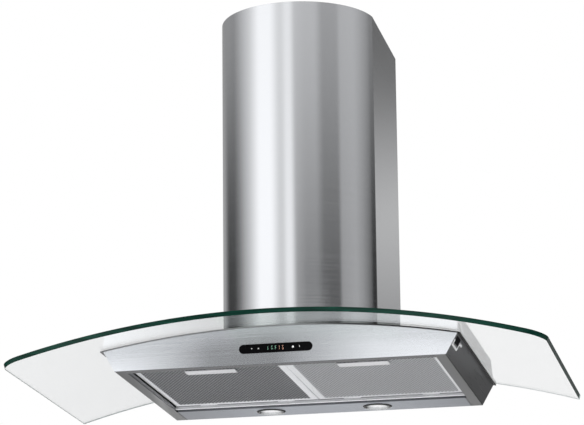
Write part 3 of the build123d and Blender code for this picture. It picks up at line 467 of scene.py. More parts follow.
def softened(corners, steps=5):
    """An outline from corners given as u, v and a radius for each bend."""
    outline = []
    for index, (u, v, radius) in enumerate(corners):
        here = Vector((u, v))
        if not radius:
            outline.append((u, v))
            continue
        before = (Vector(corners[index - 1][:2]) - here).normalized()
        after = (Vector(corners[(index + 1) % len(corners)][:2]) - here).normalized()
        half = before.angle(after) / 2
        centre = here + (before + after).normalized() * radius / math.sin(half)
        first = here + before * radius / math.tan(half) - centre
        last = here + after * radius / math.tan(half) - centre
        start = math.degrees(math.atan2(first.y, first.x))
        swing = (math.degrees(math.atan2(last.y, last.x)) - start + 180) % 360 - 180
        outline += arc(centre.x, centre.y, radius, start, start + swing, steps)
    return outline


def rounded_box(u0, u1, v0, v1, radius, steps=5):
    """A rectangle's outline with its corners rounded."""
    return softened([(u0, v0, radius), (u1, v0, radius), (u1, v1, radius), (u0, v1, radius)], steps)


def on_x(u, v, depth):
    """Section drawn from the side, pushed left to right."""
    return (depth, u, v)


def on_y(u, v, depth):
    """Section drawn from the front, pushed front to back."""
    return (u, depth, v)


def on_z(u, v, depth):
    """Plan outline, pushed upwards."""
    return (u, v, depth)


def prism(name, outline, place, near, far):
    """A closed bar: an outline pushed between two depths."""
    count = len(outline)
    points = [place(u, v, depth) for depth in (near, far) for u, v in outline]
    faces = [tuple(range(count)), tuple(range(2 * count - 1, count - 1, -1))]
    faces += [(k, (k + 1) % count, (k + 1) % count + count, k + count) for k in range(count)]
    return solid(name, points, faces)


def turned(name, profile, place, steps=72):
    """A closed profile of radius and height, turned about the axis of place."""
    points = []
    for step in range(steps):
        turn = 2 * math.pi * step / steps
        points += [place(r * math.cos(turn), r * math.sin(turn), height) for r, height in profile]
    return solid(name, points, ring_faces(steps, len(profile), True))


print("solid helpers ready")

# %% Cut, bevel and place pieces
def bake(obj):
    """An object's modifiers, turned into its plain mesh."""
    graph = bpy.context.evaluated_depsgraph_get()
    mesh = bpy.data.meshes.new_from_object(obj.evaluated_get(graph), preserve_all_data_layers=True,
                                           depsgraph=graph)
    obj.modifiers.clear()
    obj.data = mesh
    mesh.name = obj.name
    return obj


def combine(obj, others, operation):
    """Cuts the other solids out of obj, or joins them to it, and removes them."""
    for other in others:
        step = obj.modifiers.new("combine", "BOOLEAN")
        step.operation = operation
        step.solver = "EXACT"
        step.object = other
    bake(obj)
    for other in others:
        bpy.data.objects.remove(other)
    return obj


def cut(obj, *cutters):
    return combine(obj, cutters, "DIFFERENCE")


def joined(obj, *others):
    return combine(obj, others, "UNION")


def gathered(name, objs):
    """Separate solids kept in one mesh."""
    form = bmesh.new()
    for obj in objs:
        form.from_mesh(obj.data)
        bpy.data.objects.remove(obj)
    mesh = bpy.data.meshes.new(name)
    form.to_mesh(mesh)
    form.free()
    return linked(name, mesh)


def eased(obj, width, segments=2, angle=35):
    """Small rounded edges, with the flat faces kept flat in the light."""
    obj.data.shade_smooth()
    bevel = obj.modifiers.new("bevel", "BEVEL")
    bevel.width = width
    bevel.segments = segments
    bevel.limit_method = "ANGLE"
    bevel.angle_limit = math.radians(angle)
    bevel.use_clamp_overlap = True
    weights = obj.modifiers.new("weights", "WEIGHTED_NORMAL")
    weights.keep_sharp = True
    return bake(obj)


def smoothed(obj, angle=35):
    """Smooth faces with sharp edges past an angle."""
    obj.data.shade_smooth()
    obj.data.set_sharp_from_angle(angle=math.radians(angle))
    return obj


def mirrored(obj, name):
    """The same piece on the other side of the middle."""
    mesh = obj.data.copy()
    mesh.transform(Matrix.Diagonal((-1, 1, 1, 1)))
    mesh.flip_normals()
    return linked(name, mesh)


def brush(obj, rule):
    """Writes the grain map: rule gives a place along and across the brushing."""
    layer = obj.data.uv_layers.get(grain_map) or obj.data.uv_layers.new(name=grain_map)
    for face in obj.data.polygons:
        for corner in face.loop_indices:
            point = obj.data.vertices[obj.data.loops[corner].vertex_index].co
            layer.data[corner].uv = rule(point, face.normal)
    return obj


def brushed_along_x(point, normal):
    """Brushing that runs left to right on faces that look forward, back, up or down."""
    across = point.z if abs(normal.z) < 0.7 else point.y
    return (point.x, across) if abs(normal.x) < 0.7 else (point.y, point.z)


def piece(obj, body, slot, material, *replaced):
    """Gives a finished mesh its material and its body, and hides the nodes that it stands for."""
    obj.data.materials.clear()
    obj.data.materials.append(material)
    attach(obj, body)
    if replaced:
        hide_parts(*replaced)
    print(obj.name, "faces:", len(obj.data.polygons))
    return obj


def both_sides(right, names, bodies, slot, material, node):
    """A right piece and its mirror image, each standing for its own node."""
    left = mirrored(right, names[1])
    right.name = names[0]
    piece(right, bodies[0], slot, material, node + "_right")
    piece(left, bodies[1], slot, material, node + "_left")


print("finish helpers ready")

# %% [markdown]
# ## Glass canopy, gasket and plate
#
# The canopy is one flat sheet of glass, heated and laid over an arched former.
# The gasket and the steel plate under it follow the same arch. So all three
# start flat here, and one geometry recipe bends them: each point keeps its
# distance from the arch's axis, and the edges stay square to the sheet, because
# a layer that lies further out is stretched by as much as its radius is larger.

# %% Measure the arch from the frame
glass_low, glass_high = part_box("glass_canopy")
plate_low, plate_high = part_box("top_plate")
glass_thick = 8 * mm
glass_corner = 30 * mm
arch_radius = 1576 * mm
apex = glass_high.z - glass_thick
arch_centre = apex - arch_radius
glass_half = glass_high.x * arch_radius / (arch_radius + glass_thick)
gasket_thick = 1.0 * mm
plate_thick = 1.5 * mm
plate_under = -(gasket_thick + plate_thick)


def arch_height(x, above=0.0):
    """Height of the arch at x, or of one that lies above the glass's underside."""
    return arch_centre + math.sqrt((arch_radius + above) ** 2 - x * x)


print("arch radius:", round(arch_radius, 4), "height in the middle:", round(apex, 4))

# %% Write the recipe that bends a flat sheet
def start_recipe(name, inputs):
    """A geometry node tree with named inputs, and the inputs' values by name."""
    tree = bpy.data.node_groups.new(name, "GeometryNodeTree")
    labels = {"Geometry": "Geometry", **inputs, "Material": "Material"}
    for label, kind in labels.items():
        tree.interface.new_socket(label, in_out="INPUT", socket_type="NodeSocket" + kind)
    tree.interface.new_socket("Geometry", in_out="OUTPUT", socket_type="NodeSocketGeometry")
    outputs = add_node(tree, "NodeGroupInput").outputs
    return tree, {label: Number(tree, outputs[label]) for label in labels}


def floats(*labels):
    return dict.fromkeys(labels, "Float")


def end_recipe(tree, given, geometry):
    """Realize Instances and Set Material, so that plain faces with a finish come out."""
    real = add_node(tree, "GeometryNodeRealizeInstances", {"Geometry": geometry})
    dressed = add_node(tree, "GeometryNodeSetMaterial", {"Geometry": real, "Material": given["Material"]})
    add_node(tree, "NodeGroupOutput", {"Geometry": dressed})
    return tree


def follow(obj, tree, material, values):
    """Runs a recipe on an object and keeps the plain mesh."""
    step = obj.modifiers.new(tree.name, "NODES")
    step.node_group = tree
    for item in tree.interface.items_tree:
        if item.in_out == "INPUT" and item.name in values:
            step[item.identifier] = values[item.name]
        if item.in_out == "INPUT" and item.name == "Material":
            step[item.identifier] = material
    return bake(obj)


def arch_recipe():
    tree, given = start_recipe("bend_over_arch", floats("Radius", "Centre Height"))
    place = split(tree, add_node(tree, "GeometryNodeInputPosition"))
    reach = given["Radius"] + place["Z"]
    across = place["X"] * (reach / given["Radius"])
    height = (reach * reach - across * across).step("SQRT") + given["Centre Height"]
    moved = add_node(tree, "ShaderNodeCombineXYZ", {"X": across, "Y": place["Y"], "Z": height})
    bent = add_node(tree, "GeometryNodeSetPosition", {"Geometry": given["Geometry"], "Position": moved})
    return end_recipe(tree, given, bent)


bend_over_arch = arch_recipe()
print("recipe:", bend_over_arch.name)

# %% Make arched sheets
sheet_columns = 150
corner_steps = 12


def arched_sheet(name, half, front, rear, low, high, corner, material):
    """A flat sheet in columns, its front corners rounded, bent over the arch."""
    turns = [math.radians(90 * step / corner_steps) for step in range(corner_steps + 1)]
    ends = [half - corner * (1 - math.cos(turn)) for turn in turns]
    inner = [half - corner - (half - corner) * step / (sheet_columns / 2)
             for step in range(1, sheet_columns // 2 + 1)]
    right = ends[::-1] if corner else [half]
    right = sorted(set([round(x, 7) for x in right + inner if x > weld]))
    points = []
    for x in [-x for x in right[::-1]] + [0.0] + right:
        past = max(0.0, abs(x) - (half - corner))
        front_here = front + corner - math.sqrt(max(0.0, corner ** 2 - past ** 2))
        points += [(x, front_here, low), (x, rear, low), (x, rear, high), (x, front_here, high)]
    sheet = solid(name, points, ring_faces(len(points) // 4, 4))
    return follow(sheet, bend_over_arch, material, {"Radius": arch_radius, "Centre Height": arch_centre})


def column_cutter(outline):
    """An upright cutter through everything near the glass."""
    return prism("cutter", outline, on_z, -50 * mm, 150 * mm)


air_half = 88 * mm
air_front, air_rear, air_corner = -257 * mm, -73 * mm, 20 * mm
bolt_low, bolt_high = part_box("clamp_bolts")
bolt_head = 5 * mm
bolt_x = bolt_high.x - bolt_head
bolt_depths = (bolt_low.y + bolt_head * math.sqrt(0.75), bolt_high.y - bolt_head * math.sqrt(0.75))
bolt_places = [(side * bolt_x, depth) for side in (-1, 1) for depth in bolt_depths]


def clamp_cutters(radius):
    return [column_cutter(arc(x, y, radius, 0, 337.5, 15)) for x, y in bolt_places]


def air_cutter():
    return column_cutter(rounded_box(-air_half, air_half, air_front, air_rear, air_corner, 8))


def glass_canopy():
    canopy = arched_sheet("canopy", glass_half, glass_low.y, glass_high.y, 0, glass_thick,
                          glass_corner, canopy_glass)
    canopy = cut(canopy, air_cutter(), *clamp_cutters(7.5 * mm))
    canopy = eased(canopy, 0.9 * mm)
    piece(canopy, "hood", "glass", canopy_glass, "glass_canopy")
    canopy.data.materials.append(canopy_edge)
    for face in canopy.data.polygons:
        face.material_index = int(abs(face.normal.z) < 0.93)
    return canopy


def top_plate():
    plate = arched_sheet("arched_plate", plate_high.x, plate_low.y, plate_high.y,
                         plate_under, -gasket_thick, 1.5 * mm, plate_steel)
    plate = cut(plate, air_cutter(), *clamp_cutters(3.2 * mm))
    return piece(eased(plate, 0.3 * mm), "hood", "galvanised", plate_steel, "top_plate")


def glass_gasket():
    low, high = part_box("glass_gasket")
    width = 14 * mm
    gap = 0.2 * mm
    strip = arched_sheet("gasket", high.x, low.y, high.y, gap - gasket_thick, -gap, 0, black_rubber)
    inner = column_cutter(rounded_box(low.x + width, high.x - width, low.y + width, high.y - width, 3 * mm))
    return piece(smoothed(cut(strip, inner)), "hood", "gasket_rubber", black_rubber, "glass_gasket")


glass_canopy()
top_plate()
glass_gasket()

# %% [markdown]
# ## Chimney
#
# Both chimney sections are one sheet, folded twice at the wall and rolled to an
# arc in front. Their plan is a line with a normal at each point, so a section
# is that line moved in by its inset and once more by its thickness, between two
# heights. The lower section's foot follows the glass.

# %% Roll the chimney sections
chimney_low, chimney_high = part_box("chimney_lower")
upper_low, upper_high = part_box("chimney_upper")
chimney_sheet = 1.0 * mm
chimney_half = chimney_high.x
chimney_sagitta = 112 * mm
nose_radius = (chimney_half ** 2 + chimney_sagitta ** 2) / (2 * chimney_sagitta)
nose_centre = chimney_low.y + nose_radius
bend_radius = 8 * mm
wall_bend = 2.2 * mm
wall_return = 12 * mm


def rolled(centre, radius, start, end, steps):
    """Points along a bend with their normals; at 0 degrees the sheet faces the front."""
    path = []
    for step in range(steps + 1):
        angle = math.radians(start + (end - start) * step / steps)
        normal = Vector((math.sin(angle), -math.cos(angle)))
        path.append((centre + normal * radius, normal))
    return path


def chimney_path(with_return):
    """Plan of the right half, from the nose to the wall, as points with their normals."""
    bend_x = chimney_half - bend_radius
    run = math.sqrt((nose_radius - bend_radius) ** 2 - bend_x ** 2)
    turn = math.degrees(math.atan2(bend_x, run))
    path = rolled(Vector((0, nose_centre)), nose_radius, 0, turn, 60)
    path += rolled(Vector((bend_x, nose_centre - run)), bend_radius, turn, 90, 4)[1:]
    wall = rolled(Vector((chimney_half - wall_bend, -wall_bend)), wall_bend, 90, 180, 6)
    if not with_return:
        return path + wall[:1]
    return path + wall + [(Vector((chimney_half - wall_return, 0)), Vector((0, 1)))]


def chimney_section(name, inset, foot, top, with_return):
    """One section: foot gives the height of its lower edge at x."""
    right = chimney_path(with_return)
    left = [(Vector((-p.x, p.y)), Vector((-n.x, n.y))) for p, n in right[:0:-1]]
    points = []
    for place, normal in left + right:
        for depth, end in ((inset, 0), (inset, 1), (inset + chimney_sheet, 1), (inset + chimney_sheet, 0)):
            at = place - normal * depth
            points.append((at.x, at.y, top if end else foot(at.x)))
    return solid(name, points, ring_faces(len(points) // 4, 4))


def round_the_chimney(point, normal):
    """Place along the sheet and up it, measured from the nose."""
    side = 1 if point.x > 0 else -1
    reach = math.radians(79)
    if point.y > nose_centre - nose_radius * math.cos(reach):
        along = nose_radius * reach + point.y - (nose_centre - nose_radius * math.cos(reach))
        return (side * along, point.z)
    return (nose_radius * math.atan2(point.x, nose_centre - point.y), point.z)


def stop_tabs():
    """The upper section rests on four tabs inside the lower one."""
    high = upper_low.z - 0.3 * mm
    half, thick = 8 * mm, 2 * mm
    near, far = chimney_half - 5 * mm, chimney_half - 0.5 * mm
    return [prism("tab", [(side * near, depth - half), (side * far, depth - half),
                          (side * far, depth + half), (side * near, depth + half)],
                  on_z, high - thick, high)
            for side in (-1, 1) for depth in (-60 * mm, -220 * mm)]


def lower_chimney():
    def on_the_glass(x):
        return arch_height(x, glass_thick) + 0.05 * mm

    cover = chimney_section("chimney_cover", 0, on_the_glass, chimney_high.z, True)
    cover = eased(joined(cover, *stop_tabs()), 0.3 * mm)
    brush(cover, round_the_chimney)
    return piece(cover, "hood", "stainless", chimney_steel, "chimney_lower")


def upper_chimney():
    inset = chimney_half - upper_high.x
    cover = chimney_section("chimney_sleeve", inset, lambda x: upper_low.z, upper_high.z, False)
    cover = brush(eased(cover, 0.3 * mm), round_the_chimney)
    return piece(cover, "upper_chimney", "stainless", chimney_steel, "chimney_upper")


lower_chimney()
upper_chimney()

# %% [markdown]
# ## Body
#
# The body is folded from stainless sheet: a front with a hemmed lower edge, and
# two sides that lean outwards and turn in below. A fold has a small radius, and
# that radius is what catches the light along each edge.

# %% Fold the front fascia
fascia_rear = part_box("front_fascia")[1].y
sheet = 1.0 * mm
fold = 1.5 * mm
body_half = 278 * mm
side_flange = 18 * mm
flange_edge = body_half - side_flange
side_rise = 36 * mm
side_lean = (298.5 * mm - body_half) / side_rise
hem_upturn = 7 * mm
panel_x, panel_z = -4.2 * mm, 26.5 * mm
panel_length, panel_height = 123.6 * mm, 15.3 * mm
fascia_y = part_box("side_panel_left")[0].y - sheet


def side_top(inset=0.0):
    """Where a leaning side meets the plate above it."""
    x = body_half
    for _ in range(30):
        x = body_half - inset + side_lean * arch_height(x, plate_under)
    return x, arch_height(x, plate_under)


def capsule(length, height):
    """The control panel's outline."""
    end = length / 2 - height / 2
    return (arc(panel_x + end, panel_z, height / 2, -90, 90, 20)
            + arc(panel_x - end, panel_z, height / 2, 90, 270, 20))


def front_fascia():
    top_x = side_top()[0]
    crown_steps, window_gap = 80, 0.3 * mm
    crown = [(x, arch_height(x, plate_under))
             for x in (top_x * (1 - 2 * step / crown_steps) for step in range(crown_steps + 1))]
    lower = [(-body_half, 0), (-flange_edge, 0), (-flange_edge, fold), (flange_edge, fold),
             (flange_edge, 0), (body_half, 0)]
    front = prism("front", lower + crown, on_y, fascia_y, fascia_y + sheet)
    rear, inner = fascia_rear, fold - sheet
    section = (arc(fascia_y + fold, fold, fold, 180, 270, 6) + arc(rear - fold, fold, fold, 270, 360, 6)
               + [(rear, hem_upturn), (rear - sheet, hem_upturn)]
               + arc(rear - fold, fold, inner, 0, -90, 4) + arc(fascia_y + fold, fold, inner, 270, 180, 4))
    hem = prism("hem", section, on_x, -flange_edge, flange_edge)
    window = prism("window", capsule(panel_length + window_gap, panel_height + window_gap), on_y,
                   fascia_y - sheet, fascia_y + 2 * sheet)
    front = brush(eased(cut(joined(front, hem), window), 0.28 * mm), brushed_along_x)
    return piece(front, "hood", "stainless", fascia_steel, "front_fascia")


front_fascia()

# %% Fold the sides
notch_front, notch_rear = fascia_y + 11 * mm, fascia_y + 51 * mm
notch_low, notch_high = 22.5 * mm, 33.6 * mm


def brushed_along_y(point, normal):
    """Brushing that runs front to back on faces that look sideways or down."""
    across = point.z if abs(normal.x) > 0.5 else point.x
    return (point.y, across) if abs(normal.y) < 0.7 else (point.x, point.z)


def side_panel():
    outer_x, outer_z = side_top()
    inner_x, inner_z = side_top(sheet)
    lip = 7 * mm
    section = softened([
        (flange_edge, lip, 0), (flange_edge, 0, 0.3 * mm), (body_half, 0, fold), (outer_x, outer_z, 0),
        (inner_x, inner_z, 0), (body_half - sheet + side_lean * sheet, sheet, fold - sheet),
        (flange_edge + sheet, sheet, 0), (flange_edge + sheet, lip, 0)], 6)
    panel = prism("side_panel", section, on_y, fascia_y + sheet, -sheet)
    notch = prism("notch", rounded_box(notch_front, notch_rear, notch_low, notch_high, 1.2 * mm), on_x,
                  body_half - 10 * mm, body_half + 40 * mm)
    return brush(eased(cut(panel, notch), 0.25 * mm), brushed_along_y)


both_sides(side_panel(), ("right_side", "left_side"), ("hood", "hood"), "stainless", side_steel_shaded,
           "side_panel")

# %% Bend the corner clips
def corner_clip():
    """A strip of spring steel that runs round the notch and along its top."""
    width, thick, rise, tail = 3.6 * mm, 0.8 * mm, 8 * mm, 23 * mm
    soft = 0.9 * mm
    outline = softened([
        (notch_front - width, notch_low + rise, soft), (notch_front - width, notch_low - width, soft),
        (notch_rear + width, notch_low - width, soft), (notch_rear + width, notch_high - width, 0),
        (notch_rear + tail, notch_high - width, soft), (notch_rear + tail, notch_high, soft),
        (notch_rear, notch_high, soft), (notch_rear, notch_low, 0),
        (notch_front, notch_low, 0), (notch_front, notch_low + rise, soft)], 4)
    angle = math.atan(side_lean)

    def on_the_side(along, up, out):
        return (body_half + up * math.sin(angle) + out * math.cos(angle), along,
                up * math.cos(angle) - out * math.sin(angle))

    return eased(prism("clip", outline, on_the_side, 0, thick), 0.2 * mm)


right_clip = corner_clip()
left_clip = mirrored(right_clip, "clip_left")
piece(gathered("corner_spring_clips", [right_clip, left_clip]), "hood", "bright_steel", spring_steel,
      "corner_clips")

# %% [markdown]
# ## Underside
#
# From below, the hood shows a lamp panel along the wall, a rail that carries the
# filters, and the two filter cassettes, each with a sprung grip.

# %% Fold the lamp panel and the filter rail
lamp_panel_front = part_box("lamp_panel")[0].y
lamp_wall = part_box("lamp_panel")[1].z
lamp_x = 96 * mm
lamp_y = -38 * mm
lamp_hole = 22.85 * mm


def lamp_panel():
    section = softened([(lamp_panel_front, 0, fold), (-sheet, 0, 0), (-sheet, sheet, 0),
                        (lamp_panel_front + sheet, sheet, fold - sheet),
                        (lamp_panel_front + sheet, lamp_wall, 0), (lamp_panel_front, lamp_wall, 0)])
    panel = prism("lamp_strip", section, on_x, -flange_edge, flange_edge)
    holes = [prism("hole", arc(side * lamp_x, lamp_y, lamp_hole, 0, 354, 59), on_z, -5 * mm, 5 * mm)
             for side in (-1, 1)]
    panel = brush(eased(cut(panel, *holes), 0.25 * mm), brushed_along_x)
    return piece(panel, "hood", "stainless", lamp_panel_steel, "lamp_panel")


def filter_rail():
    low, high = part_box("filter_rail")
    web_z = 9 * mm
    depth = 5.5 * mm
    groove = 2.08 * mm
    pivot_z = 10 * mm
    section = (softened([(low.y, low.z, 1.2 * mm), (low.y + depth, low.z, 1.2 * mm),
                         (low.y + depth, web_z, 0), (high.y, web_z, 0), (high.y, high.z, 0),
                         (low.y, high.z, 0)])
               + arc(low.y, pivot_z, groove, 90, -90, 12))
    rail = eased(prism("rail", section, on_x, low.x, high.x), 0.2 * mm)
    return piece(rail, "hood", "filter_aluminium", rail_aluminium_shaded, "filter_rail")


lamp_panel()
filter_rail()

# %% [markdown]
# ## Filter cassettes
#
# Each cassette is a frame of folded aluminium round a pack of expanded foil. The
# frame's section is a short list of steps across one bar. Laid out as nested
# rectangles it runs round all four bars, with mitred corners, though the bars
# differ in width.

# %% Fold the cassette frames
cassette_low, cassette_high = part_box("filter_frame_right")
bar_inner, bar_outer, bar_front, bar_rear = 12 * mm, 8 * mm, 12 * mm, 7.5 * mm
cassette_rear = cassette_high.y - 4 * mm
pivot_y, pivot_z, pivot_r = -82.5 * mm, 10 * mm, 2 * mm
edge_r, roll_r = 1.3 * mm, 3 * mm
grip_x = 130 * mm


def edge_inset(height, radius):
    """How far a rounded lower edge lies inside at a height above the bar's lower face."""
    short = max(0.0, radius - height)
    return radius - math.sqrt(radius ** 2 - short ** 2)


filter_bodies = ("filter_right", "filter_left")
tongue_half, tongue_low, tongue_high = 10.4 * mm, 11.1 * mm, 14.9 * mm


def cassette_frame():
    depth = cassette_high.z - cassette_low.z
    rises = (depth, 3 * mm, 1.7 * mm, 0.9 * mm, 0.4 * mm, 0.12 * mm, 0)
    steps = [(rise, 0.0, True) for rise in rises]
    steps += [(0, 0.60, False), (0.25 * mm, 0.66, False), (0.25 * mm, 0.84, False),
              (0, 0.90, False), (0.1 * mm, 0.97, False), (0.5 * mm, 1.0, False), (depth, 1.0, False)]
    points = []
    for rise, share, outer_edge in steps:
        inset = [share * bar for bar in (bar_inner, bar_outer, bar_front, bar_rear)]
        if outer_edge:
            inset = [edge_inset(rise, r) for r in (edge_r, edge_r, edge_r, roll_r)]
        x0, x1 = cassette_low.x + inset[0], cassette_high.x - inset[1]
        y0, y1 = cassette_low.y + inset[2], cassette_rear - inset[3]
        points += [(x, y, cassette_low.z + rise) for x, y in ((x0, y0), (x1, y0), (x1, y1), (x0, y1))]
    form = solid("cassette", points, ring_faces(len(steps), 4, True))
    tongue = prism("tongue_space", rounded_box(grip_x - tongue_half, grip_x + tongue_half, tongue_low,
                                               tongue_high, 0.4 * mm), on_y, -420 * mm, -390 * mm)
    form = eased(cut(form, tongue), 0.15 * mm, 1)
    keyhole = arc(pivot_y, pivot_z, pivot_r, -150, 150, 20)
    keyhole += [(cassette_rear - 2 * mm, pivot_z + mm), (cassette_rear - 2 * mm, pivot_z - mm)]
    middle, pivot_half = (cassette_low.x + cassette_high.x) / 2, 15 * mm
    pivots = [smoothed(prism("pivot", keyhole, on_x, middle + off - pivot_half, middle + off + pivot_half))
              for off in (-70 * mm, 70 * mm)]
    return gathered("cassette_right", [form] + pivots)


both_sides(cassette_frame(), ("cassette_right", "cassette_left"), filter_bodies, "filter_aluminium",
           filter_aluminium, "filter_frame")

# %% [markdown]
# ## Expanded mesh
#
# The grease mesh is slit foil pulled open into diamonds. Its strands repeat
# thousands of times, so a recipe lays a grid of points at the strands' middles
# and puts a short bar on each, turned one way and the other in turn. Bars that
# would lie in the grip's slot are left out.

# %% Write the recipe for expanded mesh
def mesh_recipe():
    inputs = floats("Width", "Depth", "Diamond Width", "Diamond Depth", "Strand Width", "Strand Height",
                    "Tilt")
    inputs.update(dict.fromkeys(("Middle", "Slot Middle", "Slot Half"), "Vector"))
    tree, given = start_recipe("expanded_mesh", inputs)
    half_w, half_d = given["Diamond Width"] * 0.5, given["Diamond Depth"] * 0.5
    columns = (given["Width"] / half_w).step("FLOOR")
    rows = (given["Depth"] / half_d).step("FLOOR")
    grid = add_node(tree, "GeometryNodeMeshGrid",
                    {"Size X": (columns - 1.0) * half_w, "Size Y": (rows - 1.0) * half_d,
                     "Vertices X": columns, "Vertices Y": rows})
    moved = add_node(tree, "GeometryNodeTransform", {"Geometry": grid, "Translation": given["Middle"]})
    position = add_node(tree, "GeometryNodeInputPosition")
    away = add_node(tree, "ShaderNodeVectorMath", {0: position, 1: given["Slot Middle"]},
                    operation="SUBTRACT")
    away = split(tree, add_node(tree, "ShaderNodeVectorMath", {0: away}, operation="ABSOLUTE"))
    limit = split(tree, given["Slot Half"])
    in_slot = (away["X"] < limit["X"]) * (away["Y"] < limit["Y"])
    kept = add_node(tree, "GeometryNodeDeleteGeometry", {"Geometry": moved, "Selection": in_slot},
                    domain="POINT")
    place, origin = split(tree, position), split(tree, given["Middle"])
    steps = (place["Y"] - origin["Y"]) / half_d + (place["X"] - origin["X"]) / half_w
    odd = (steps + (columns + rows) * 0.5).step("ROUND").step("MODULO", 2.0)
    angle = half_d.step("ARCTAN2", half_w) * (odd * 2.0 - 1.0)
    length = (half_w * half_w + half_d * half_d).step("SQRT")
    size = add_node(tree, "ShaderNodeCombineXYZ",
                    {"X": length, "Y": given["Strand Width"], "Z": given["Strand Height"]})
    turn = add_node(tree, "ShaderNodeCombineXYZ", {"X": given["Tilt"], "Z": angle})
    strands = add_node(tree, "GeometryNodeInstanceOnPoints",
                       {"Points": kept, "Instance": add_node(tree, "GeometryNodeMeshCube", {"Size": size}),
                        "Rotation": add_node(tree, "FunctionNodeEulerToRotation", {"Euler": turn})})
    return end_recipe(tree, given, strands)


expanded_mesh = mesh_recipe()
print("recipe:", expanded_mesh.name)

# %% Fill the cassettes
pack_low, pack_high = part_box("filter_mesh_right")
mesh_sheet = 0.5 * mm
stem_half, stem_front, stem_rear = 8 * mm, -372 * mm, -357 * mm
latch_travel = 6 * mm
slot_side, slot_end = 2.5 * mm, 3.6 * mm
channel_front, channel_rear = -415 * mm, -344 * mm


def strand_sheet(side, name):
    """The lower sheet of expanded foil in one cassette."""
    middle = (side * (pack_low.x + pack_high.x) / 2, (pack_low.y + pack_high.y) / 2,
              pack_low.z + mesh_sheet / 2 + 0.1 * mm)
    slot_middle = (side * grip_x, (stem_front + stem_rear + latch_travel) / 2, 0)
    slot_half = (stem_half + slot_side, (stem_rear - stem_front + latch_travel) / 2 + slot_end, 1)
    return follow(solid(name, [(0, 0, 0)], []), expanded_mesh, strand_aluminium, {
        "Width": pack_high.x - pack_low.x, "Depth": pack_high.y - pack_low.y,
        "Diamond Width": 6.4 * mm, "Diamond Depth": 12.0 * mm, "Strand Width": 1.5 * mm,
        "Strand Height": 0.3 * mm, "Tilt": -side * math.radians(14), "Middle": middle,
        "Slot Middle": slot_middle, "Slot Half": slot_half})


def foil_pack():
    """The layers of foil behind the mesh, as one slab with the grip's channel."""
    slab = prism("foil_pack", rounded_box(pack_low.x, pack_high.x, pack_low.y, pack_high.y, 0.5 * mm), on_z,
                 pack_low.z + 1.2 * mm, pack_high.z)
    channel = rounded_box(grip_x - tongue_half, grip_x + tongue_half, channel_front, channel_rear, 0.3 * mm)
    return smoothed(cut(slab, prism("channel", channel, on_z, pack_low.z - mm, tongue_high)))


both_sides(foil_pack(), ("foil_pack_right", "foil_pack_left"), filter_bodies, "filter_mesh",
           foil_aluminium, "filter_mesh")
piece(strand_sheet(1, "expanded_sheet_right"), "filter_right", "filter_mesh", strand_aluminium)
piece(strand_sheet(-1, "expanded_sheet_left"), "filter_left", "filter_mesh", strand_aluminium)

# %% [markdown]
# ## Filter grips
#
# The grip is a thin plate with ribs along it, so that a finger holds it. The
# ribs repeat, so a recipe sets them on a line of points.

# %% Write the recipe for ribs and make the grips
def rib_recipe():
    tree, given = start_recipe("ribs", {"Count": "Int", "Start": "Vector", "Step": "Vector",
                                        **floats("Length", "Radius")})
    line = add_node(tree, "GeometryNodeMeshLine", {"Count": given["Count"], "Start Location": given["Start"],
                                                   "Offset": given["Step"]}, mode="OFFSET")
    rib = add_node(tree, "GeometryNodeMeshCylinder",
                   {"Vertices": 8, "Radius": given["Radius"], "Depth": given["Length"]}, fill_type="NGON")
    turn = add_node(tree, "FunctionNodeEulerToRotation", {"Euler": (0, math.pi / 2, 0)})
    set_out = add_node(tree, "GeometryNodeInstanceOnPoints",
                       {"Points": line, "Instance": rib, "Rotation": turn})
    both = add_node(tree, "GeometryNodeJoinGeometry")
    for source in (given["Geometry"], set_out):
        tree.links.new(output_of(source), both.inputs["Geometry"])
    return end_recipe(tree, given, both)


ribs = rib_recipe()


def latch_grip():
    low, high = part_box("latch_right")
    front, rear, thick = -377 * mm, -351 * mm, 2 * mm
    plate = eased(prism("plate", rounded_box(low.x, high.x, front, rear, 2.5 * mm), on_z,
                        low.z, low.z + thick), 0.6 * mm, 3)
    stem = eased(prism("stem", rounded_box(grip_x - stem_half, grip_x + stem_half, stem_front, stem_rear, mm),
                       on_z, low.z + thick - 0.2 * mm, high.z), 0.2 * mm)
    tongue = eased(prism("tongue", rounded_box(grip_x - 10 * mm, grip_x + 10 * mm, low.y, stem_rear, mm),
                         on_z, 11.5 * mm, high.z), 0.3 * mm)
    count, margin = 6, 3 * mm
    step = (rear - front - 2 * margin) / (count - 1)
    return follow(gathered("grip_right", [plate, stem, tongue]), ribs, grip_aluminium, {
        "Count": count, "Start": (grip_x, front + margin, low.z + 0.15 * mm), "Step": (0, step, 0),
        "Length": high.x - low.x - 2 * margin, "Radius": 0.55 * mm})


both_sides(latch_grip(), ("grip_right", "grip_left"), ("latch_slider_right", "latch_slider_left"),
           "latch_aluminium", grip_aluminium, "latch")

# %% [markdown]
# ## Springs of the grips
#
# A compression spring behind each grip's tongue pushes it forward. The wire is a
# circle that follows a spiral.

# %% Wind the springs
def coil_recipe():
    tree, given = start_recipe("coil_spring", {**floats("Turns", "Length", "Radius", "Wire"),
                                               "Start": "Vector"})
    path = add_node(tree, "GeometryNodeCurveSpiral",
                    {"Resolution": 20, "Rotations": given["Turns"], "Start Radius": given["Radius"],
                     "End Radius": given["Radius"], "Height": given["Length"]})
    wire = add_node(tree, "GeometryNodeCurvePrimitiveCircle", {"Resolution": 8, "Radius": given["Wire"]})
    coil = add_node(tree, "GeometryNodeCurveToMesh",
                    {"Curve": path, "Profile Curve": wire, "Fill Caps": True})
    laid = add_node(tree, "GeometryNodeTransform", {"Geometry": coil, "Translation": given["Start"],
                                                    "Rotation": (-math.pi / 2, 0, 0)})
    return end_recipe(tree, given, laid)


coil_spring = coil_recipe()


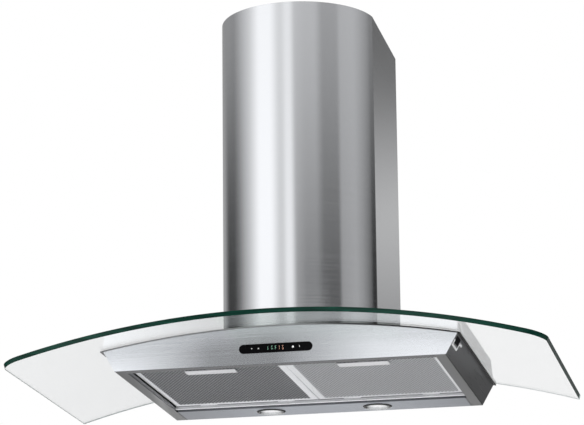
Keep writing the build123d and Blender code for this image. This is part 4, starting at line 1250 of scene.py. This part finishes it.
def latch_spring(name, side):
    low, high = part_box("latch_spring_" + name)
    wire = 0.3 * mm
    coil_r = (high.x - low.x) / 2 - wire
    values = {"Turns": 6.0, "Length": high.y - low.y - 2 * wire, "Radius": coil_r, "Wire": wire,
              "Start": (side * grip_x, low.y + wire, (low.z + high.z) / 2)}
    coil = follow(solid("spring_" + name, [(0, 0, 0)], []), coil_spring, bright_zinc, values)
    coil = piece(smoothed(coil), "filter_" + name, "bright_steel", bright_zinc, "latch_spring_" + name)
    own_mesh(coil)


latch_spring("left", -1)
latch_spring("right", 1)

# %% [markdown]
# ## Lamps
#
# Each lamp is a chromed ring pressed into the panel, with a ribbed lens, a small
# bulb and a bright bowl behind it. All are turned about an upright axis.

# %% Turn the lamps
lamp_sides = {"left": -1, "right": 1}


def lamp_piece(kind, name, profile, steps, angle, slot, material, *replaced):
    """A profile turned about the upright axis of one lamp."""
    def place(u, v, height):
        return (lamp_sides[name] * lamp_x + u, lamp_y + v, height)

    ring = smoothed(turned(kind + "_" + name, profile, place, steps), angle)
    return piece(ring, "hood", slot, material, *replaced)


def lamp_bezel(name):
    low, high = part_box("lamp_bezel_" + name)
    outer, opening, sleeve = (high.x - low.x) / 2, 19 * mm, 22.7 * mm
    profile = softened([(opening, high.z, 0), (opening, low.z + 1.6 * mm, 0.3 * mm),
                        (opening + 1.7 * mm, low.z, 0.5 * mm), (outer - 1.2 * mm, low.z, 1.0 * mm),
                        (outer, 0, 0), (sleeve, 0, 0.2 * mm), (sleeve, high.z, 0.2 * mm)], 4)
    lamp_piece("bezel", name, profile, 96, 40, "lamp_chrome", lamp_chrome, "lamp_bezel_" + name)


def lamp_lens(name):
    low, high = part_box("lamp_lens_" + name)
    rim_r, rim_z = 18.95 * mm, high.z - 1.5 * mm
    rings, rib_height = 9, 0.1 * mm

    def crown(r):
        return low.z + (rim_z - low.z) * (r / rim_r) ** 2

    profile = [(0, high.z), (rim_r, high.z), (rim_r, rim_z)]
    for ring in range(rings, 0, -1):
        r, inner = rim_r * ring / rings, rim_r * (ring - 0.55) / rings
        profile += [(r - 0.02 * mm, crown(r)), (inner, crown(inner) - rib_height)]
    profile.append((0, low.z))
    lamp_piece("lens", name, profile, 96, 25, "lamp_glass", lens_glass, "lamp_lens_" + name)


def lamp_bowl(name):
    mouth, taper, foot, depth = 18.4 * mm, 12.2 * mm, 4.6 * mm, 15.0 * mm
    thick, steps = 0.4 * mm, 12
    inside = [(mouth - taper * (step / steps) ** 2, foot + depth * step / steps) for step in range(steps + 1)]
    outside = [(r + thick, z + thick * 0.3) for r, z in inside[::-1]]
    lamp_piece("bowl", name, inside + outside, 72, 50, "lamp_chrome", polished_chrome)


for lamp_name in lamp_sides:
    lamp_bezel(lamp_name)
    lamp_lens(lamp_name)
    lamp_bowl(lamp_name)

# %% [markdown]
# ## Touch control
#
# The control is a gloss black capsule with a clock lit from behind in the middle and
# printed keys at both ends, whose marks are given a painted glow. The clock's bars repeat,
# so a recipe sets one small bar on each point of a list and turns it by the point's own angle.

# %% Make the black capsule
lens_low, lens_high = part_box("control_lens")
mark_y = lens_low.y


def control_capsule():
    face = eased(prism("face", capsule(panel_length, panel_height), on_y, lens_low.y, fascia_y + sheet),
                 0.35 * mm, 3)
    flange = smoothed(prism("flange", capsule(panel_length + 6 * mm, panel_height + 6 * mm), on_y,
                            fascia_y + sheet, lens_high.y))
    return piece(gathered("control_capsule", [face, flange]), "hood", "lens_black", lens_black,
                 "control_lens")


control_capsule()

# %% Write the recipe for lit bars and set the clock
def bar_recipe():
    tree, given = start_recipe("lit_bars", floats("Length", "Width", "Thickness"))
    size = add_node(tree, "ShaderNodeCombineXYZ",
                    {"X": given["Length"], "Y": given["Thickness"], "Z": given["Width"]})
    tilt, share = [add_node(tree, "GeometryNodeInputNamedAttribute", {"Name": label},
                            data_type="FLOAT_VECTOR").outputs["Attribute"] for label in ("tilt", "share")]
    bars = add_node(tree, "GeometryNodeInstanceOnPoints",
                    {"Points": given["Geometry"],
                     "Instance": add_node(tree, "GeometryNodeMeshCube", {"Size": size}),
                     "Rotation": add_node(tree, "FunctionNodeEulerToRotation", {"Euler": tilt}),
                     "Scale": share})
    return end_recipe(tree, given, bars)


lit_bars = bar_recipe()


def lit_piece(name, marks, material):
    """Marks are a place across, a place up, an angle in degrees and a share of the bar's length."""
    mesh = mesh_of(name, [(panel_x + x, mark_y - 0.02 * mm, panel_z + z) for x, z, _, _ in marks], [])
    tilts = [(0, math.radians(angle), 0) for _, _, angle, _ in marks]
    shares = [(length, 1, 1) for _, _, _, length in marks]
    for label, vectors in (("tilt", tilts), ("share", shares)):
        layer = mesh.attributes.new(label, "FLOAT_VECTOR", "POINT")
        layer.data.foreach_set("vector", [part for vector in vectors for part in vector])
    bars = follow(linked(name, mesh), lit_bars, material,
                  {"Length": 2.3 * mm, "Width": 0.45 * mm, "Thickness": 0.06 * mm})
    return piece(bars, "hood", "lens_black", material)


def ring_marks(x, radius, count=10):
    """Short bars round a circle."""
    marks = []
    for index in range(count):
        turn = 2 * math.pi * index / count
        marks.append((x + radius * math.cos(turn), radius * math.sin(turn),
                      -math.degrees(turn) + 90, 0.62 * radius / (1.2 * mm)))
    return marks


figure_half_w, figure_half_h = 0.9 * mm, 1.6 * mm


def small_figure(x, rows):
    """A narrow figure of short bars, each given in half widths and half heights."""
    return [(x + across * figure_half_w, up * figure_half_h, angle, share)
            for across, up, angle, share in rows]


left_stroke = [(-1, 1, 90, 0.9), (-1, -1, 90, 0.9)]
hours = (small_figure(-12.0 * mm, left_stroke)
         + small_figure(-5.9 * mm, left_stroke + [(0, 2, 0, 0.8), (1, -1, 90, 0.9)])
         + small_figure(0.3 * mm, left_stroke + [(0, 2, 0, 0.8), (0, 0, 0, 0.8)]))
minutes = (small_figure(6.4 * mm, [(0, 1, 90, 0.9), (0, -1, 90, 0.9), (-0.5, 1.6, 0, 0.5)])
           + small_figure(12.3 * mm, left_stroke + [(0, 2, 0, 0.8), (0, -2, 0, 0.8), (1, -1, 90, 0.9)]))
keys = ([(-40.3 * mm, 0, 0, 0.8), (-40.3 * mm, 0.5 * mm, 90, 0.6)]
        + [(-28.9 * mm, -0.4 * mm, 0, 1.0), (-28.9 * mm, 0.6 * mm, 0, 0.6)]
        + ring_marks(29.1 * mm, 1.2 * mm) + [(29.1 * mm, 0, 0, 0.8)]
        + [(40.3 * mm, 0.2 * mm, 90, 1.3)])
lit_piece("clock_hours", hours, mark_green)
lit_piece("clock_minutes", minutes, mark_orange)
lit_piece("key_marks", keys, key_print_glow)

# %% [markdown]
# ## Inside
#
# The solids that nobody sees from the front keep their shape from the frame and
# get the finish of the real part.

# %% Dress the carried-over nodes
def dress(material, *names):
    for name in names:
        node = cad_nodes[name]
        if not node.material_slots:
            node.data.materials.append(material)
        for material_slot in node.material_slots:
            material_slot.material = material


dress(body_zinc, "rear_panel", "mount_plates", "middle_rail", "blower_frame", "blower_case",
      "motor_bracket", "chimney_feet", "chimney_bracket")
dress(bright_zinc, "clamp_bolts", "clamp_nuts", "pan_screws", "damper_pins", "motor_shaft", "touch_springs")
dress(black_plastic, "control_carrier", "cable_gland", "display_module", "chimney_glides")
dress(board_green, "control_board")
dress(black_rubber, "motor_grommets")
dress(capacitor_can, "lamp_housing_left", "lamp_housing_right", "capacitor")
dress(bulb_glass, "lamp_bulb_left", "lamp_bulb_right")
dress(white_plastic, "lamp_transformer", "junction_box", "junction_lid", "glass_bushes")
dress(lead_white, "lamp_leads")
dress(grey_plastic, "scroll_housing", "impeller", "outlet_collar", "damper_flap_left", "damper_flap_right")
dress(motor_paint, "motor")
print("dressed nodes:", len([n for n in cad_nodes.values() if not n.hide_render]))

# %% [markdown]
# ## Studio
#
# Brushed steel shows the studio more than itself. A product studio hangs white
# and black cards round such a piece, and their soft reflections draw its shape.
# Here the cards are one wide ring, seen by reflections alone, whose brightness
# changes round the ring and with height. The floor is plain and pale, the lamps
# are soft, and the background is white.

# %% Hang the cards
ring_radius = 3.0
ring_low, ring_high = -1.2, 3.4
brightest = 2.0
card_heights = (-0.4, 0.75, 1.15, 1.55)
# Each edge of a card: its direction, in degrees from the front towards the
# right, and the brightness there at the four heights.
card_edges = (
    (-180, 0.60, 0.55, 0.45, 0.40),
    (-176, 0.60, 0.55, 0.45, 0.40),
    (-172, 0.30, 0.53, 0.45, 0.40),
    (-156, 0.30, 0.50, 0.45, 0.40),
    (-146, 0.45, 0.45, 0.45, 0.37),
    (-134, 0.45, 0.45, 0.45, 0.37),
    (-116, 0.10, 0.03, 0.10, 0.45),
    (-97, 0.10, 0.03, 0.10, 0.45),
    (-84, 0.30, 0.20, 0.34, 0.66),
    (-64, 0.80, 0.80, 0.95, 0.95),
    (-48, 1.20, 1.60, 1.58, 1.45),
    (-30, 1.20, 1.60, 1.58, 1.45),
    (-19, 0.90, 0.92, 0.98, 1.08),
    (-14, 0.90, 0.92, 0.98, 1.08),
    (-9, 1.20, 1.38, 1.32, 1.20),
    (-3, 1.20, 1.38, 1.32, 1.20),
    (3, 0.30, 0.36, 0.74, 0.90),
    (16, 0.10, 0.12, 0.66, 0.88),
    (30, 0.10, 0.10, 0.66, 0.88),
    (40, 0.05, 0.05, 0.27, 0.66),
    (62, 0.05, 0.04, 0.25, 0.66),
    (65, 0.40, 0.38, 0.54, 0.73),
    (90, 0.50, 0.55, 0.54, 0.73),
    (104, 0.40, 0.44, 0.40, 0.63),
    (125, 0.20, 0.14, 0.20, 0.44),
    (131, 0.05, 0.01, 0.06, 0.34),
    (143, 0.05, 0.01, 0.06, 0.34),
    (150, 0.02, 0.33, 0.64, 0.16),
    (180, 0.02, 0.33, 0.64, 0.16),
)


def card_material(name, draw):
    """A material that only glows, in the tones that draw writes into its tree."""
    material = bpy.data.materials.new(name)
    material.use_nodes = True
    tree = material.node_tree
    tree.nodes.clear()
    glow = add_node(tree, "ShaderNodeEmission", {"Color": draw(tree), "Strength": brightest})
    add_node(tree, "ShaderNodeOutputMaterial", {"Surface": glow})
    return material


def ring_tones(tree):
    """Tones by direction round the ring, blended between the heights."""
    place = split(tree, object_place(tree))
    turn = place["X"].step("ARCTAN2", place["Y"] * -1.0) / (2 * math.pi) + 0.5
    levels = [blend_colours(tree, turn, [((edge[0] + 180) / 360, [edge[1 + index] / brightest] * 3)
                                         for edge in card_edges]) for index in range(len(card_heights))]
    shown = levels[0]
    for index in range(1, len(card_heights)):
        factor = spread(tree, place["Z"], 0, 1, card_heights[index - 1], card_heights[index])
        mixed = add_node(tree, "ShaderNodeMix", {0: factor, 6: shown, 7: levels[index]}, data_type="RGBA")
        shown = mixed.outputs[2]
    return shown


def hang_card(name, points, faces, draw):
    """A glowing card that only reflections see."""
    mesh = mesh_of(name, points, faces)
    mesh.materials.append(card_material(name, draw))
    card = linked(name, mesh)
    card.visible_camera = False
    card.visible_diffuse = False
    card.visible_transmission = False
    card.visible_shadow = False


def card_ring():
    steps = 120
    turns = [2 * math.pi * step / steps for step in range(steps)]
    points = [(ring_radius * math.sin(turn), -ring_radius * math.cos(turn), z)
              for turn in turns for z in (ring_low, ring_high)]
    faces = [(2 * k, 2 * k + 1, (2 * k + 3) % (2 * steps), (2 * k + 2) % (2 * steps)) for k in range(steps)]
    hang_card("card_ring", points, faces, ring_tones)


card_ring()
print("card edges:", len(card_edges))

# %% Hang the small cards before the fascia and behind the glass
front_card_y = -0.56
front_card_tones = ((-0.32, 1.55), (-0.145, 0.42), (-0.065, 0.39), (-0.035, 0.37), (0.055, 0.77),
                    (0.135, 1.22), (0.235, 1.40))
rear_card_y = 2.7
rear_card_tones = ((-1.20, 0.62), (-0.765, 0.66), (-0.71, 0.10), (-0.52, 0.10), (-0.46, 1.0), (-0.15, 1.0))


def graded_card(name, depth, reach_x, reach_z, axis, tones):
    """An upright card whose brightness changes along X or Z."""
    (x0, x1), (z0, z1) = reach_x, reach_z
    hang_card(name, [(x, depth, z) for x, z in ((x0, z0), (x1, z0), (x1, z1), (x0, z1))], [(0, 1, 2, 3)],
              lambda tree: tones_along(tree, axis, tones, brightest))


graded_card("front_card", front_card_y, (-0.40, 0.32), (-0.10, 0.10), "X", front_card_tones)
graded_card("rear_card", rear_card_y, (-1.3, 0.2), (-1.20, -0.15), "Z", rear_card_tones)
print("small cards at y", front_card_y, rear_card_y)

# %% Floor, lamps and background
floor_z = -1.25


def studio_floor():
    half = 12.0
    mesh = mesh_of("floor", [(-half, -half, floor_z), (half, -half, floor_z), (half, half, floor_z),
                             (-half, half, floor_z)], [(0, 1, 2, 3)])
    material, tree, shader = start_material("floor_paint", Roughness=0.9)
    paint(tree, shader, object_noise(tree, 3.0, 2.0), (0.84, 0.84, 0.84), 0.99, 1.0)
    mesh.materials.append(material)
    linked("floor", mesh)


def soft_lamp(name, place, target, size, power):
    """A large square lamp that lights the piece but isn't mirrored in it."""
    light = bpy.data.lights.new(name, "AREA")
    light.size, light.energy = size, power
    lamp = linked(name, light)
    lamp.location = place
    lamp.rotation_euler = (Vector(target) - Vector(place)).to_track_quat("-Z", "Y").to_euler()
    lamp.visible_glossy = False
    lamp.visible_camera = False
    lamp.visible_transmission = False


def background():
    world = bpy.data.worlds.new("studio")
    bpy.context.scene.world = world
    world.use_nodes = True
    tree = world.node_tree
    tree.nodes.clear()
    rays = add_node(tree, "ShaderNodeLightPath").outputs
    mirrored_rays = Number(tree, rays["Is Glossy Ray"]).step("MAXIMUM", rays["Is Transmission Ray"])
    seen = Number(tree, rays["Is Camera Ray"]).step("MAXIMUM", mirrored_rays)
    soft, white = [add_node(tree, "ShaderNodeBackground", {"Color": (1, 1, 1, 1), "Strength": strength})
                   for strength in (0.45, 1.0)]
    both = add_node(tree, "ShaderNodeMixShader", {0: seen, 1: soft, 2: white})
    add_node(tree, "ShaderNodeOutputWorld", {"Surface": both})


studio_floor()
background()
for lamp_row in (("key_lamp", (-2.4, -3.6, 2.2), (0, -0.2, 0.2), 2.0, 90),
                 ("fill_lamp", (3.2, -2.6, 0.6), (0, -0.2, 0.1), 2.0, 45),
                 ("low_lamp", (0.4, -4.0, -1.0), (0, -0.2, 0.0), 1.6, 60),
                 ("wall_lamp", (0.5, 3.5, 1.5), (0, -0.2, 0.2), 2.0, 60)):
    soft_lamp(*lamp_row)
bpy.context.scene.view_settings.view_transform = "Standard"
print("lamps: 4")
